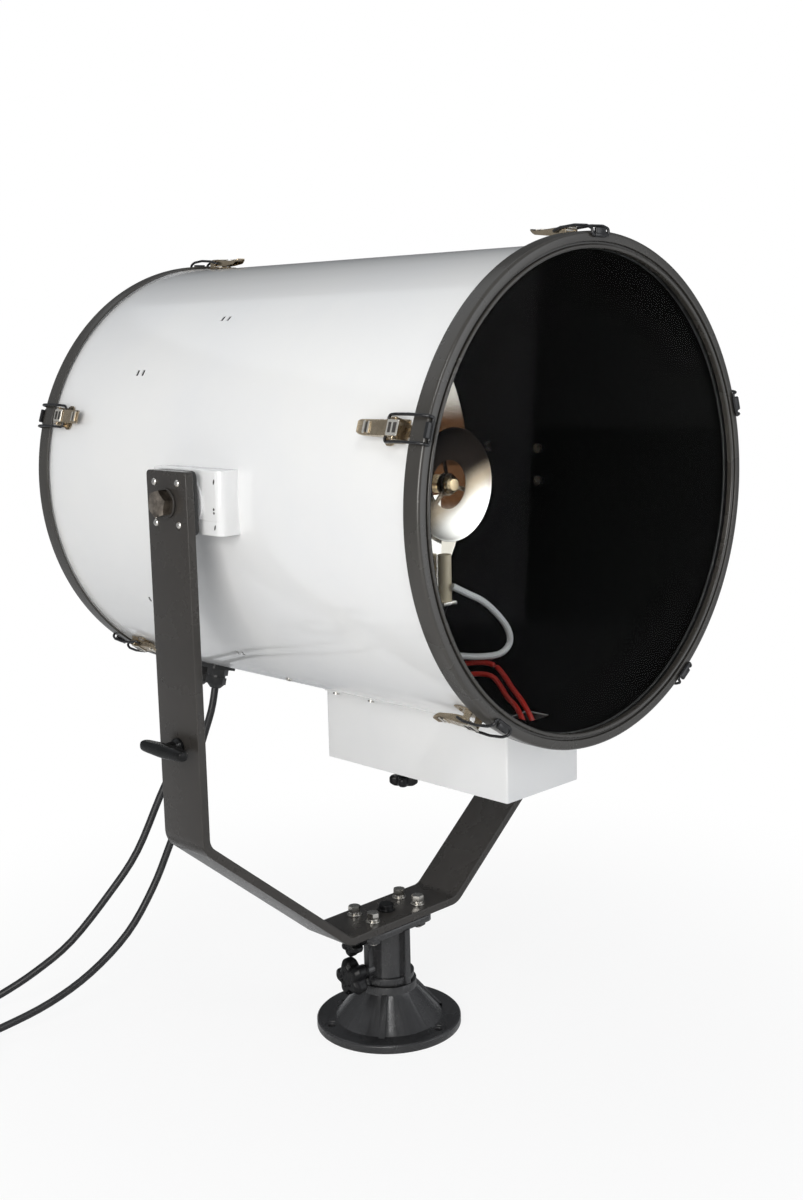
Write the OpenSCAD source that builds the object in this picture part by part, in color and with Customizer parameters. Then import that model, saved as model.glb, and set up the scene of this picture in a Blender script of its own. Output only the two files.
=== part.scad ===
// Marine searchlight: drum head in a bent-bar yoke on a rotating pedestal.
// Frame: +Z up, the beam points along -Y, the tilt axis lies along X,
// origin on the pan axis at the underside of the base flange.

/* [Drum] */
// Outer radius of the rolled drum shell
drum_r = 295; // [275:1:315]
// Wall of the drum shell
drum_wall = 3; // [2:0.5:5]
// Tilt axis to the shell's front lip
drum_front = 367; // [350:1:400]
// Tilt axis to the shell's rear lip
drum_rear = 352; // [335:1:380]
// Height of the tilt axis above the deck
axis_h = 793; // [760:1:840]
// How far the shell's end lips stand proud of the shell
lip_proud = 2.5; // [1:0.5:4]
// Thickness of the end lips
lip_t = 2; // [1:0.5:4]

/* [Rings and glass] */
// How far the front bezel stands proud of the shell
bezel_proud = 12; // [9:0.5:16]
// How far the rear ring stands proud of the shell
rear_proud = 6; // [5.5:0.5:12]
// Wall of the rings' outer skirt
skirt_t = 3; // [2:0.5:3]
// How far the skirts reach past the lips
skirt_back = 7; // [5:0.5:12]
// Radial reach of the ring faces inward from the shell
ring_reach = 8; // [7:0.5:12]
// Depth of the front bezel's face
bezel_face = 8; // [7:0.5:12]
// Depth of the rear ring's face
rear_face = 10; // [8:0.5:14]
// Rounding of the rings' outer edge
edge_r = 4; // [3:0.5:5]
// Radius of the bead round the rings' opening
bead_r = 2.5; // [2:0.25:3]
// Thickness of the front glass
glass_t = 5; // [4:0.5:8]
// Thickness of the rubber seals
seal_t = 3; // [2:0.5:5]
// Thickness of the rear cover
cover_t = 4; // [2:0.5:6]
// How far the rear cover is dished
cover_dish = 16; // [8:1:24]

/* [Latches] */
// Lever pin behind the ring face
pivot_back = 45; // [42:1:52]
// Bail pivot behind the lever pin
bail_back = 12; // [11:0.5:14]
// Bail pivot below the lever pin, past dead centre
bail_under = 1; // [0.5:0.1:1.5]
// Radius of the bail wire
wire_r = 1.75; // [1.5:0.05:2]
// Half width of the bail
bail_v = 15; // [14.5:0.5:18]
// Length of the lever behind its pin
lever_len = 53; // [45:1:65]
// Width of the lever
lever_w = 18; // [16:0.5:19]
// Sheet of the latch parts
latch_sheet = 1.5; // [1:0.25:1.75]

/* [Yoke] */
// Gap from the shell to the inner face of the arms
side_gap = 43; // [40:1:56]
// Width of the yoke bar
bar_w = 80; // [70:1:100]
// Thickness of the yoke bar
bar_t = 12; // [10:0.5:16]
// Inside radius of the bends
bend_r = 20; // [10:1:40]
// Slope of the bar between plate and arm, in degrees
bar_slope = 39.6; // [35:0.1:45]
// Half length of the flat bottom plate to the bend's corner
plate_half = 106; // [95:1:120]
// Arm above the tilt axis
arm_over = 39; // [36:1:50]
// Tilt axis down to the T-handle
handle_drop = 304; // [290:1:330]
// Length of the T-handle's grip
handle_len = 84; // [60:1:110]

/* [Trunnions] */
// Radius of the trunnion bolt's shank
trunnion_r = 10; // [8:0.5:12]
// Length of the trunnion block along the drum
block_len = 136; // [125:1:150]
// Height of the trunnion block
block_h = 78; // [70:1:84]
// Rounding of the block's upright corners
block_round = 10; // [6:1:16]
// Radius of the hub between block and arm
hub_r = 22; // [18:0.5:24]
// Depth of the hub
hub_t = 10; // [9:0.5:12]
// Radius of the raised disc under the hub
disc_r = 35; // [30:1:38]
// Height of the raised disc
disc_t = 3; // [1:0.5:4]
// Thickness of the bearing plate inside the arm
bearing_t = 6; // [4:0.5:8]

/* [Pedestal] */
// Radius of the base flange
base_r = 105; // [100:1:120]
// Thickness of the base flange
flange_t = 12; // [8:0.5:16]
// Radius of the base cone at its foot
cone_r = 78; // [74:1:82]
// Radius of the base neck
neck_r = 41; // [38:1:46]
// Height of the base up to its neck face
base_h = 68; // [60:1:80]
// Bolt circle of the base
bolt_pcd = 178; // [176:1:184]
// Radius of the base bolt holes
bolt_hole_r = 5.5; // [4:0.25:7]
// Height of the pedestal post
post_h = 89; // [84:1:110]
// Radius of the post's barrel
post_r = 33; // [31:1:36]
// Reach of the post's ribs
rib_reach = 42; // [39:1:46]
// Radius of the pan spindle
spindle_r = 18; // [15:0.5:20]
// Wall of the pan bush
bush_wall = 4; // [3:0.5:6]
// Radius of the pan lock knob
lock_knob_r = 28; // [24:1:30]
// Radius of the pan drag knob
drag_knob_r = 17; // [14:1:18]

/* [Ignitor box] */
// Width of the box
box_w = 140; // [120:1:160]
// Tilt axis to the box's front wall
box_front = 295; // [285:1:320]
// Tilt axis to the box's rear wall
box_rear = 36; // [25:1:60]
// Depth of the box below the drum
box_h = 89; // [80:1:105]
// Sheet of the box
box_sheet = 2; // [1.5:0.25:3]
// Radius of the box knob
box_knob_r = 20; // [16:1:24]

/* [Optics] */
// Reflector rim behind the tilt axis
rim_back = 88; // [78:1:98]
// Gap from the reflector rim to the shell's inside
rim_gap = 12; // [10:1:20]
// Focal length of the reflector
focal = 150; // [145:1:160]
// Cup reflector's rim ahead of the tilt axis
cup_front = 146; // [140:1:165]
// Radius of the cup reflector
cup_r = 73; // [60:1:80]
// Radius of the cup's opening
cup_hole_r = 32; // [26:1:36]

/* [Cables] */
// Radius of the supply cables
cable_r = 5.5; // [5:0.25:6]
// Angle of the glands round the drum, in degrees
gland_angle = 255; // [250:1:258]
// Gap from the glands' seat plate to the rear ring
gland_gap = 19; // [2:1:30]
// Spacing of the two glands
gland_pitch = 40; // [36:1:44]

/* [Hidden] */
$fn = 64;
// Latches on each ring
latch_n = 5;

// Clearances
run_fit = 0.05;      // radial running fit of a turning pin
seat_gap = 0.05;     // a piece seated on a curved face
screw_gap = 0.4;     // a screw in its clearance hole
face_gap = 0.3;      // faces of bodies that turn past each other

// Heights up the pedestal
washer_t = 2;
post_z = base_h + washer_t;
plate_z = post_z + post_h;
plate_top = plate_z + bar_t;
post_flange_t = 9;
flange_w = 120;
lock_z = post_z + lock_knob_r - 7;
drag_z = plate_z - drag_knob_r - 3;

// Rings
bezel_r = drum_r + bezel_proud;
rear_r = drum_r + rear_proud;
ring_in = drum_r - ring_reach;
glass_r = drum_r + 1;
front_seat = drum_front + seal_t + glass_t;
rear_seat = drum_rear + seal_t + cover_t;
bezel_y = front_seat + bezel_face;
rear_y = rear_seat + rear_face;

// Yoke and trunnions
arm_in = drum_r + side_gap;
arm_out = arm_in + bar_t;
arm_mid = arm_in + bar_t / 2;
block_face = arm_in - bearing_t - face_gap - hub_t;
bush_wall_t = 3;
bearing_w = bar_w - 4;
bearing_h = 2 * arm_over;
bearing_screws = [for (y = [-23, 23], z = [-25, 25]) [y, z]];
block_screws = [for (y = [-48, 48], z = [-24, 24]) [y, z]];

// Fasteners: radius over corners, head height
m12 = [6, 10.8, 9];
m20 = [trunnion_r, trunnion_r * 1.75, 13];
m8 = [4, 7, 5];
plate_bolts = [for (x = [-45, 45], y = [-19, 19]) [x, y]];

// Latches
hook_gap = 0.4;
hook_drop = 5;
pin_r = 2;
latch_step = 360 / latch_n;
latch_first = 18;
ear_gap = 1.2;
base_back = 24;
base_ahead = 10;

// Slots for the straps of the inner brackets: distance behind the tilt axis, angle
strap_slots = [[178, 31], [63, 48]];
slot_size = [10, 3];
slot_pitch = 12;

// Optics
rim_r = drum_r - drum_wall - rim_gap;
bowl_depth = rim_r * rim_r / (4 * focal);
bowl_t = 1.5;
vertex_back = rim_back + bowl_depth;
frame_back = vertex_back + 20;
cup_depth = 8;
lead_hole = [10, 262];

// Box
box_z = axis_h - drum_r - box_h;
box_round = 12;
box_flange = 14;
box_screw_y = [-62, 7];
knob_spot = [25 - box_w / 2, -88];
ignitor_front = box_front - 114;

// Glands
gland_plate_t = 6;
gland_seat = [36, 44];
gland_back = drum_rear - skirt_back - gland_gap - gland_seat[0] / 2 - gland_pitch;
gland_hex_r = 16;
gland_out = 35;

// Hand-chosen routes of the leads and cables
// Leads: heights above the drum's floor line
lead_r = 4.5;
red_r = 3.5;
strut_x = -24;
post_y = -cup_front + cup_depth - 12;
ceramic_r = 9;
terminal = [-40, -80];
terminal_r = 11;
terminal_top = 43;
lead_gap = 0.8;
lead_end = -ignitor_front - 0.3;
white_route = [
    [strut_x, post_y - ceramic_r - lead_r, 166], [0, -170, 153], [24, -172, 141], [52, -172, 120],
    [74, -172, 96], [80, -170, 75], [66, -163, 61], [40, -143, 59], [10, -116, 63], [-18, -94, 64],
    [terminal[0] + 4, terminal[1] - 2.5, 57], [terminal[0], terminal[1], terminal_top + lead_gap]];
red_routes = [
    [[terminal[0] + terminal_r + lead_gap, terminal[1], 32], [-10, -82, 35], [20, -106, 43], [48, -138, 49],
     [58, -160, 47], [52, -182, 39], [38, -210, 27], [24, -240, 15], [17, -260, -1], [19, -266, -18],
     [25, -254, -44], [26, -226, -64], [26, lead_end, -68]],
    [[terminal[0] + 9.2, terminal[1] - 7.6, 24], [-12, -98, 27], [14, -120, 32], [38, -146, 36],
     [46, -166, 35], [38, -188, 28], [24, -214, 17], [11, -240, 11], [2, -259, -2], [0, -266, -18],
     [-4, -254, -44], [-6, -226, -64], [-6, lead_end, -68]]];
gland_tip = drum_r + gland_out;
exit_gap = 0.5;
exit_run = 35;
function below_gland(back, out) =
    [0, back, axis_h] + (gland_tip + out) * [cos(gland_angle), 0, sin(gland_angle)];
front_route = [
    below_gland(gland_back, exit_gap), below_gland(gland_back, exit_run),
    [-108, 278, 390], [-125, 290, 320], [-155, 306, 238],
    [-183, 316, 175], [-228, 322, 116], [-288, 334, 69], [-352, 346, 40], [-415, 366, 22],
    [-462, 386, 11], [-507, 407, 6], [-545, 410, 6]];
rear_route = [
    below_gland(gland_back + gland_pitch, exit_gap), below_gland(gland_back + gland_pitch, exit_run),
    [-115, 318, 380], [-150, 330, 310], [-188, 344, 228],
    [-230, 360, 170], [-284, 388, 102], [-330, 418, 60], [-374, 446, 32], [-415, 470, 14],
    [-455, 492, 6], [-482, 522, 6]];
coil_mid = 62;
coil_size = [22, 22];
coil_front_at = [-531, 350];
coil_rear_at = [-424, 546];
ring_sides = 10;

white = "white";
grey = [0.29, 0.28, 0.27];
steel = "silver";
black = [0.08, 0.08, 0.08];

// Local x = X, y = Z, z = forward out of the drum
module along_drum() { translate([0, 0, axis_h]) rotate([90, 0, 0]) children(); }

// Local x = Y, y = Z, z = +X, at the tilt axis
module along_tilt(x) { translate([x, 0, axis_h]) rotate([90, 0, 90]) children(); }

module both_sides() {
    children();
    mirror([1, 0, 0]) children();
}

// Rectangle with rounded corners
module plan(w, d, r) {
    square([w - 2 * r, d], center = true);
    square([w, d - 2 * r], center = true);
    for (x = [-1, 1], y = [-1, 1]) translate([x * (w / 2 - r), y * (d / 2 - r)]) circle(r);
}

// Tube wall between two radii
module sleeve(r_out, r_in, h) {
    difference() {
        cylinder(h = h, r = r_out);
        translate([0, 0, -1]) cylinder(h = h + 2, r = r_in);
    }
}

module hexagon(r, h) { cylinder(h = h, r = r, $fn = 6); }

// Screw with a low round head, head outward along +z from z = 0
module round_screw(r, head_r, head_h, length) {
    cylinder(h = head_h, r = head_r);
    translate([0, 0, -length]) cylinder(h = length + 0.1, r = r);
}

// Catmull-Rom point on a route, t counts route points
function route_at(p, t) =
    let (n = len(p) - 1, i = min(floor(t), n - 1), f = t - i,
         a = p[max(i - 1, 0)], b = p[i], c = p[i + 1], d = p[min(i + 2, n)])
    0.5 * (2 * b + (c - a) * f + (2 * a - 5 * b + 4 * c - d) * f * f + (3 * b - a - 3 * c + d) * f * f * f);

function unit(v) = v / norm(v);

// Closed tube swept along a smoothed route, two rings between route points
module route_tube(p, r) {
    steps = 3;
    n = (len(p) - 1) * steps;
    mids = [for (k = [0 : n]) route_at(p, k / steps)];
    rings = [for (k = [0 : n])
        let (t = unit(mids[min(k + 1, n)] - mids[max(k - 1, 0)]),
             side = unit(cross(t, [0, 1, 0.3])), up = cross(side, t))
        for (j = [0 : ring_sides - 1])
            mids[k] + r * (cos(360 * j / ring_sides) * side + sin(360 * j / ring_sides) * up)];
    s = ring_sides;
    walls = [for (k = [0 : n - 1], j = [0 : s - 1])
        [k * s + j, k * s + (j + 1) % s, (k + 1) * s + (j + 1) % s, (k + 1) * s + j]];
    start = [[for (j = [s - 1 : -1 : 0]) j]];
    end = [[for (j = [0 : s - 1]) n * s + j]];
    polyhedron(points = rings, faces = concat(walls, start, end), convexity = 4);
}

// Five-lobed knob, face along +z, stem and stud along -z
module star_knob(r, t, stem_l, stud_r, stud_l) {
    lobes = 5;
    dome = 1.6 * r;
    intersection() {
        linear_extrude(t) difference() {
            circle(r);
            for (k = [0 : lobes - 1]) rotate(360 / lobes * (k + 0.5))
                translate([1.16 * r, 0]) circle(0.42 * r);
        }
        translate([0, 0, t - dome]) sphere(dome);
    }
    translate([0, 0, -stem_l]) cylinder(h = stem_l + 1, r = 0.4 * r);
    translate([0, 0, -stem_l - stud_l]) cylinder(h = stud_l + 1, r = stud_r);
}

// Base and pan bearing

spot_r = 10.5;
hole_angle = 38;
cone_h = base_h - flange_t - 12;
boss_r = spindle_r + 8;
stud_r = 5;

// Cast foot: flange, ribbed cone and neck, hollow below
module base_casting() {
    rib_t = 9;
    rib_out = 5;
    wall = 9;
    chamfer = 2;
    spot_depth = 1;
    color(grey) difference() {
        union() {
            rotate_extrude() polygon([[0, 0], [base_r, 0], [base_r, flange_t - chamfer],
                [base_r - chamfer, flange_t], [cone_r, flange_t], [neck_r, flange_t + cone_h],
                [neck_r, base_h], [0, base_h]]);
            for (k = [0 : 2]) rotate(hole_angle + 60 + 120 * k) rotate([90, 0, 0])
                linear_extrude(rib_t, center = true)
                polygon([[neck_r - 5, flange_t - 1], [cone_r + rib_out, flange_t - 1],
                         [neck_r + rib_out, flange_t + cone_h], [neck_r - 5, flange_t + cone_h + rib_out]]);
        }
        translate([0, 0, 5]) cylinder(h = base_h, r = spindle_r + run_fit);
        rotate_extrude() polygon([[boss_r, -1], [cone_r - wall, -1], [cone_r - wall, flange_t],
            [neck_r - wall / 2, flange_t + cone_h - wall], [boss_r, flange_t + cone_h - wall]]);
        for (k = [0 : 2]) rotate(hole_angle + 120 * k) translate([bolt_pcd / 2, 0, 0]) {
            translate([0, 0, -1]) cylinder(h = flange_t + 2, r = bolt_hole_r);
            translate([0, 0, flange_t - spot_depth]) cylinder(h = base_h, r = spot_r);
        }
    }
}

// Steel spindle with its retaining washer and cap screw
module pan_spindle() {
    top = plate_z - 9;
    color(steel) {
        translate([0, 0, 5]) cylinder(h = top - 5, r = spindle_r);
        translate([0, 0, top]) cylinder(h = 3, r = spindle_r + bush_wall - 1);
        translate([0, 0, top + 3]) cylinder(h = 5, r = 8);
    }
}

module thrust_washer() {
    color("ivory") translate([0, 0, base_h]) sleeve(post_r, spindle_r + 1, washer_t);
}

// Cast post: ribbed barrel with a bolting flange on top
module pedestal_post() {
    rib_t = 10;
    foot_h = 10;
    screw_boss_r = 8;
    barrel_h = post_h - post_flange_t;
    color(grey) difference() {
        union() {
            translate([0, 0, post_z]) cylinder(h = post_h - 1, r = post_r);
            translate([0, 0, post_z]) cylinder(h = foot_h, r = neck_r - 3);
            for (a = [0, 90]) rotate(a) translate([-rib_reach, -rib_t / 2, post_z])
                cube([2 * rib_reach, rib_t, barrel_h + 1]);
            for (z = [lock_z, drag_z]) translate([0, 0, z]) rotate([0, -90, 0])
                cylinder(h = rib_reach + 4, r = screw_boss_r);
            translate([0, 0, plate_z - post_flange_t]) linear_extrude(post_flange_t)
                plan(flange_w, bar_w, 16);
        }
        translate([0, 0, post_z - 1]) cylinder(h = post_h + 2, r = spindle_r + bush_wall + run_fit);
        for (z = [lock_z, drag_z]) translate([0, 0, z]) rotate([0, -90, 0])
            cylinder(h = rib_reach + 10, r = stud_r + run_fit);
        for (p = plate_bolts) translate([p[0], p[1], plate_z - 40])
            cylinder(h = 41, r = m12[0] + screw_gap);
    }
}

module pan_bush() {
    bush_h = post_h - 9 - face_gap;
    color("peru") difference() {
        translate([0, 0, post_z]) sleeve(spindle_r + bush_wall, spindle_r + run_fit, bush_h);
        for (z = [lock_z, drag_z]) translate([0, 0, z]) rotate([0, -90, 0])
            cylinder(h = rib_reach, r = stud_r + screw_gap);
    }
}

// Yoke

bend_mid = bend_r + bar_t / 2;
corner_z = plate_z + bar_t / 2 + (arm_mid - plate_half) * tan(bar_slope);
arm_turn = 90 - bar_slope;
arm_tangent = bend_mid * tan(arm_turn / 2);
plate_tangent = bend_mid * tan(bar_slope / 2);

// Points of an arc, and a list turned round
function arc(centre, r, from, to) =
    [for (k = [0 : bend_steps]) let (a = from + (to - from) * k / bend_steps) centre + r * [cos(a), sin(a)]];
function turned(p) = [for (k = [len(p) - 1 : -1 : 0]) p[k]];
function mirrored(p) = [for (q = p) [-q[0], q[1]]];

bend_steps = 10;
arm_bend = [arm_mid - bend_mid, corner_z + arm_tangent];
plate_bend = [plate_half - plate_tangent, plate_z + bar_t / 2 + bend_mid];

// One side of the bar from the arm's top to the plate, off its middle line
function bar_side(off) = concat([[arm_mid + off, axis_h + arm_over]],
    arc(arm_bend, bend_mid + off, 0, -arm_turn), arc(plate_bend, bend_mid + off, -arm_turn, -90));

module yoke_bar() {
    corner = 6;
    color(grey) difference() {
        rotate([90, 0, 0]) linear_extrude(bar_w, center = true) polygon(concat(
            bar_side(bar_t / 2), turned(mirrored(bar_side(bar_t / 2))),
            mirrored(bar_side(-bar_t / 2)), turned(bar_side(-bar_t / 2))));
        for (p = plate_bolts) translate([p[0], p[1], plate_z - 1])
            cylinder(h = bar_t + 2, r = m12[0] + screw_gap);
        translate([0, 0, plate_z - 1]) cylinder(h = bar_t + 2, r = cap_shank + run_fit);
        both_sides() along_tilt(arm_in - 1) {
            cylinder(h = bar_t + 2, r = trunnion_r + bush_wall_t + run_fit);
            for (p = bearing_screws) translate(p) cylinder(h = bar_t + 2, r = m8[0] + screw_gap);
            for (s = [-1, 1]) translate([s * bar_w / 2, arm_over, 0]) linear_extrude(bar_t + 2)
                difference() {
                    square(2 * corner, center = true);
                    translate([-s * corner, -corner]) circle(corner);
                }
        }
        along_tilt(-arm_out - 1) translate([0, -handle_drop, 0])
            cylinder(h = bar_t + 2, r = stud_r + run_fit);
    }
}

cap_r = 11;
cap_shank = 8;
module spindle_cap() {
    color(black) {
        translate([0, 0, plate_top]) cylinder(h = 8, r = cap_r);
        translate([0, 0, plate_top + 8]) cylinder(h = 2, r1 = cap_r, r2 = cap_r - 2);
        translate([0, 0, plate_z + 2]) cylinder(h = bar_t, r = cap_shank);
    }
}

// Plate bolts with washers and nuts, and the bearing plates' screws with nuts
module yoke_fasteners() {
    washer = 2.5;
    spring = 3;
    nut_h = 10;
    bearing_in = bar_t + bearing_t;
    nut_low = bar_t + post_flange_t + nut_h;
    bolt_over = 3;
    color(steel) {
        for (p = plate_bolts) translate([p[0], p[1], plate_top]) {
            cylinder(h = washer, r = m12[1] + 1.5);
            translate([0, 0, washer - 0.1]) cylinder(h = spring + 0.2, r = m12[1] - 1.5);
            translate([0, 0, washer + spring]) hexagon(m12[1], m12[2]);
            translate([0, 0, -nut_low - bolt_over]) cylinder(h = nut_low + bolt_over + 1, r = m12[0]);
            translate([0, 0, -nut_low]) hexagon(m12[1], nut_h);
        }
        both_sides() along_tilt(arm_out) for (p = bearing_screws) translate(p) {
            round_screw(m8[0], m8[1], 3.5, bearing_in + 7);
            translate([0, 0, -bearing_in - 6]) hexagon(m8[1] + 0.5, 6);
        }
    }
}

module bearing_plates() {
    color(black) both_sides() along_tilt(arm_in - bearing_t) difference() {
        linear_extrude(bearing_t) plan(bearing_w, bearing_h, 8);
        translate([0, 0, -1]) cylinder(h = bearing_t + 2, r = trunnion_r + bush_wall_t + run_fit);
        for (p = bearing_screws) translate([p[0], p[1], -1])
            cylinder(h = bearing_t + 2, r = m8[0] + screw_gap);
    }
}

module trunnion_bushes() {
    color("peru") both_sides() along_tilt(arm_in - bearing_t)
        sleeve(trunnion_r + bush_wall_t, trunnion_r + run_fit, bar_t + bearing_t);
}

// Knobs and handle

knob_stem = 14;

module pan_lock_knob() {
    at = rib_reach + 4 + face_gap + knob_stem;
    color(black) translate([-at, 0, lock_z]) rotate([0, -90, 0])
        star_knob(lock_knob_r, 22, knob_stem, stud_r, at - knob_stem - spindle_r - 1);
}

module pan_drag_knob() {
    at = rib_reach + 4 + face_gap + knob_stem;
    color(black) translate([-at, 0, drag_z]) rotate([0, -90, 0])
        star_knob(drag_knob_r, 18, knob_stem, stud_r, at - knob_stem - spindle_r - 1);
}

// T-handle screwed through the near arm
module t_handle() {
    hub = 12;
    neck = 16;
    grip = 15;
    color(black) translate([-arm_out, 0, axis_h - handle_drop]) rotate([90, 0, -90]) {
        translate([0, 0, face_gap]) cylinder(h = neck + 4, r1 = hub, r2 = hub - 2);
        translate([0, 0, neck]) linear_extrude(grip) {
            plan(handle_len, 14, 6.9);
            circle(hub);
        }
        translate([0, 0, -bar_t - 6]) cylinder(h = bar_t + 10, r = stud_r);
    }
}

module box_knob() {
    stem = 8;
    color(black) translate([knob_spot[0], knob_spot[1], box_z - face_gap - stem]) rotate([180, 0, 0])
        star_knob(box_knob_r, 14, stem, stud_r, 14);
}

// Drum

// A pair of slots for each inner strap, on both sides and above and below the axis
module strap_pairs() {
    for (s = strap_slots, a = strap_angles(s), d = [-1, 1])
        rotate(a) translate([drum_r - drum_wall / 2, 0, -s[0] + d * slot_pitch / 2])
            cube([4 * drum_wall, slot_size[0], slot_size[1]], center = true);
}

module drum_shell() {
    color(white) difference() {
        along_drum() difference() {
            rotate_extrude() {
                translate([drum_r - drum_wall, -drum_rear]) square([drum_wall, drum_rear + drum_front]);
                for (z = [-drum_rear, drum_front - lip_t]) translate([drum_r - drum_wall, z])
                    square([drum_wall + lip_proud, lip_t]);
            }
            strap_pairs();
            for (k = [0, 1]) rotate(gland_angle) translate([drum_r - 20, 0, -gland_back - k * gland_pitch])
                rotate([0, 90, 0]) cylinder(h = 40, r = cable_r + 4);
        }
        translate([lead_hole[0], -lead_hole[1], axis_h - drum_r - 10]) cylinder(h = 40, r = 20);
        both_sides() along_tilt(drum_r - 30) for (p = block_screws) translate(p)
            cylinder(h = 40, r = m8[0] + screw_gap);
    }
}

// Hollow of the drum's outline, to seat pieces on the shell
module shell_cut() {
    along_drum() translate([0, 0, -drum_rear])
        cylinder(h = drum_rear + drum_front, r = drum_r + seat_gap, $fn = 720);
}

// Cast trunnion blocks with their hubs
module trunnion_blocks() {
    base_x = drum_r - 2 * block_round;
    color(white) both_sides() difference() {
        union() {
            translate([0, 0, axis_h - block_h / 2]) linear_extrude(block_h)
                translate([(base_x + block_face) / 2, 0]) plan(block_face - base_x, block_len, block_round);
            along_tilt(block_face - 1) cylinder(h = hub_t + 1, r = hub_r);
            along_tilt(block_face - 1) cylinder(h = disc_t + 1, r = disc_r);
        }
        shell_cut();
        along_tilt(block_face - 23) cylinder(h = 60, r = trunnion_r + run_fit);
        along_tilt(drum_r - 30) for (p = block_screws) translate(p) cylinder(h = 46, r = m8[0] + run_fit);
        translate([block_face - 1, -block_len, axis_h - 22]) cube([4, 2 * block_len, 1.2]);
    }
}

module trunnion_bolts() {
    washer = 3;
    color(steel) both_sides() along_tilt(arm_out + face_gap) {
        cylinder(h = washer, r = m20[1] + 2);
        translate([0, 0, washer]) hexagon(m20[1], m20[2]);
        translate([0, 0, block_face - 22 - arm_out])
            cylinder(h = arm_out - block_face + 26, r = trunnion_r);
    }
}

// Screws of the trunnion blocks and of the box flanges
module drum_screws() {
    edge = block_screws[3][1] + m8[1];
    inner = sqrt(pow(drum_r - drum_wall, 2) - edge * edge) - 0.1;
    block_screw = 18;
    flange_x = box_w / 2 + box_flange / 2;
    flange_a = asin(flange_x / drum_r);
    color(steel) {
        both_sides() along_tilt(inner) rotate([180, 0, 0]) for (p = block_screws) translate(p)
            round_screw(m8[0], m8[1], m8[2], block_screw);
        both_sides() along_drum() for (y = box_screw_y) rotate(flange_a - 90)
            translate([drum_r + box_sheet + 2 * seat_gap, 0, -y]) rotate([0, 90, 0])
                cylinder(h = 2.5, r = 4.5);
    }
}

// Ring section: radius along x, distance out from the seat along y
module ring_section(r_out, face, stack) {
    groove_w = 3;
    groove_d = face / 2;
    difference() {
        union() {
            translate([r_out - skirt_t, -stack - skirt_back])
                square([skirt_t, stack + skirt_back + face - edge_r]);
            translate([ring_in, 0]) square([r_out - ring_in - edge_r, face]);
            translate([r_out - 2 * edge_r, 0]) square([2 * edge_r, face - edge_r]);
            translate([r_out - edge_r, face - edge_r]) circle(edge_r);
        }
        translate([ring_in + 2 * bead_r, face - groove_d]) square([groove_w, face]);
        translate([ring_in - 1, face - bead_r]) difference() {
            square([bead_r + 1, bead_r + 1]);
            translate([bead_r + 1, 0]) circle(bead_r);
        }
    }
}

module front_bezel() {
    color(grey) along_drum() translate([0, 0, front_seat]) rotate_extrude()
        ring_section(bezel_r, bezel_face, seal_t + glass_t);
}

module rear_ring() {
    color(grey) along_drum() mirror([0, 0, 1]) translate([0, 0, rear_seat]) rotate_extrude()
        ring_section(rear_r, rear_face, seal_t + cover_t);
}

module front_glass() {
    color([0.8, 0.9, 0.95, 0.4]) along_drum() translate([0, 0, drum_front + seal_t])
        cylinder(h = glass_t, r = glass_r);
}

// Flat rubber ring with a rounded inner edge
module seal() {
    rotate_extrude() {
        translate([ring_in + seal_t / 2, 0]) square([drum_r - ring_in - seal_t / 2, seal_t]);
        translate([ring_in + seal_t / 2, seal_t / 2]) circle(seal_t / 2);
    }
}

module ring_seals() {
    color(black) along_drum() {
        translate([0, 0, drum_front]) seal();
        mirror([0, 0, 1]) translate([0, 0, drum_rear]) seal();
    }
}

// Dished sheet cover
module rear_cover() {
    dish_r = ring_in - 4;
    crown = (dish_r * dish_r + cover_dish * cover_dish) / (2 * cover_dish);
    color(white) along_drum() mirror([0, 0, 1]) translate([0, 0, drum_rear + seal_t]) rotate_extrude() {
        translate([dish_r - cover_t, 0]) square([glass_r - dish_r + cover_t, cover_t]);
        intersection() {
            translate([0, cover_dish + cover_t - crown]) difference() {
                circle(crown, $fn = 360);
                circle(crown - cover_t, $fn = 360);
            }
            square([dish_r, cover_dish + cover_t]);
        }
    }
}

// Optics

// Height of the bowl's curve ahead of its vertex
function bowl_y(r) = r * r / (4 * focal);

module reflector() {
    hole = 30;
    n = 20;
    radii = [for (k = [0 : n]) hole + (rim_r - hole) * k / n];
    color("gainsboro") along_drum() translate([0, 0, -vertex_back]) rotate_extrude()
        polygon(concat([for (r = radii) [r, bowl_y(r)]],
                       [for (k = [n : -1 : 0]) [radii[k], bowl_y(radii[k]) - bowl_t]]));
}

// Four places of a strap pair round the drum
function strap_angles(s) = [s[1], 180 - s[1], 180 + s[1], -s[1]];

inside_r = drum_r - drum_wall;
foot_w = 30;
foot_t = 3;

// Curved foot on the shell's inside, from a distance behind the tilt axis forward
module shell_foot(back, length) {
    intersection() {
        translate([0, 0, -back]) sleeve(inside_r - seat_gap, inside_r - foot_t, length, $fn = 360);
        translate([0, -foot_w / 2, -back - 1]) cube([2 * drum_r, foot_w, length + 2]);
    }
}

// Angle feet strapped to the shell, under the bowl's rim
module reflector_brackets() {
    foot = 40;
    tab_in = rim_r - 2;
    tab_back = vertex_back - bowl_y(tab_in) + bowl_t + seat_gap + foot_t;
    color("dimgray") along_drum() for (a = strap_angles(strap_slots[1])) rotate(a) {
        shell_foot(tab_back, foot);
        translate([tab_in, -foot_w / 2, -tab_back]) cube([inside_r - foot_t / 2 - tab_in, foot_w, foot_t]);
    }
}

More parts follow.
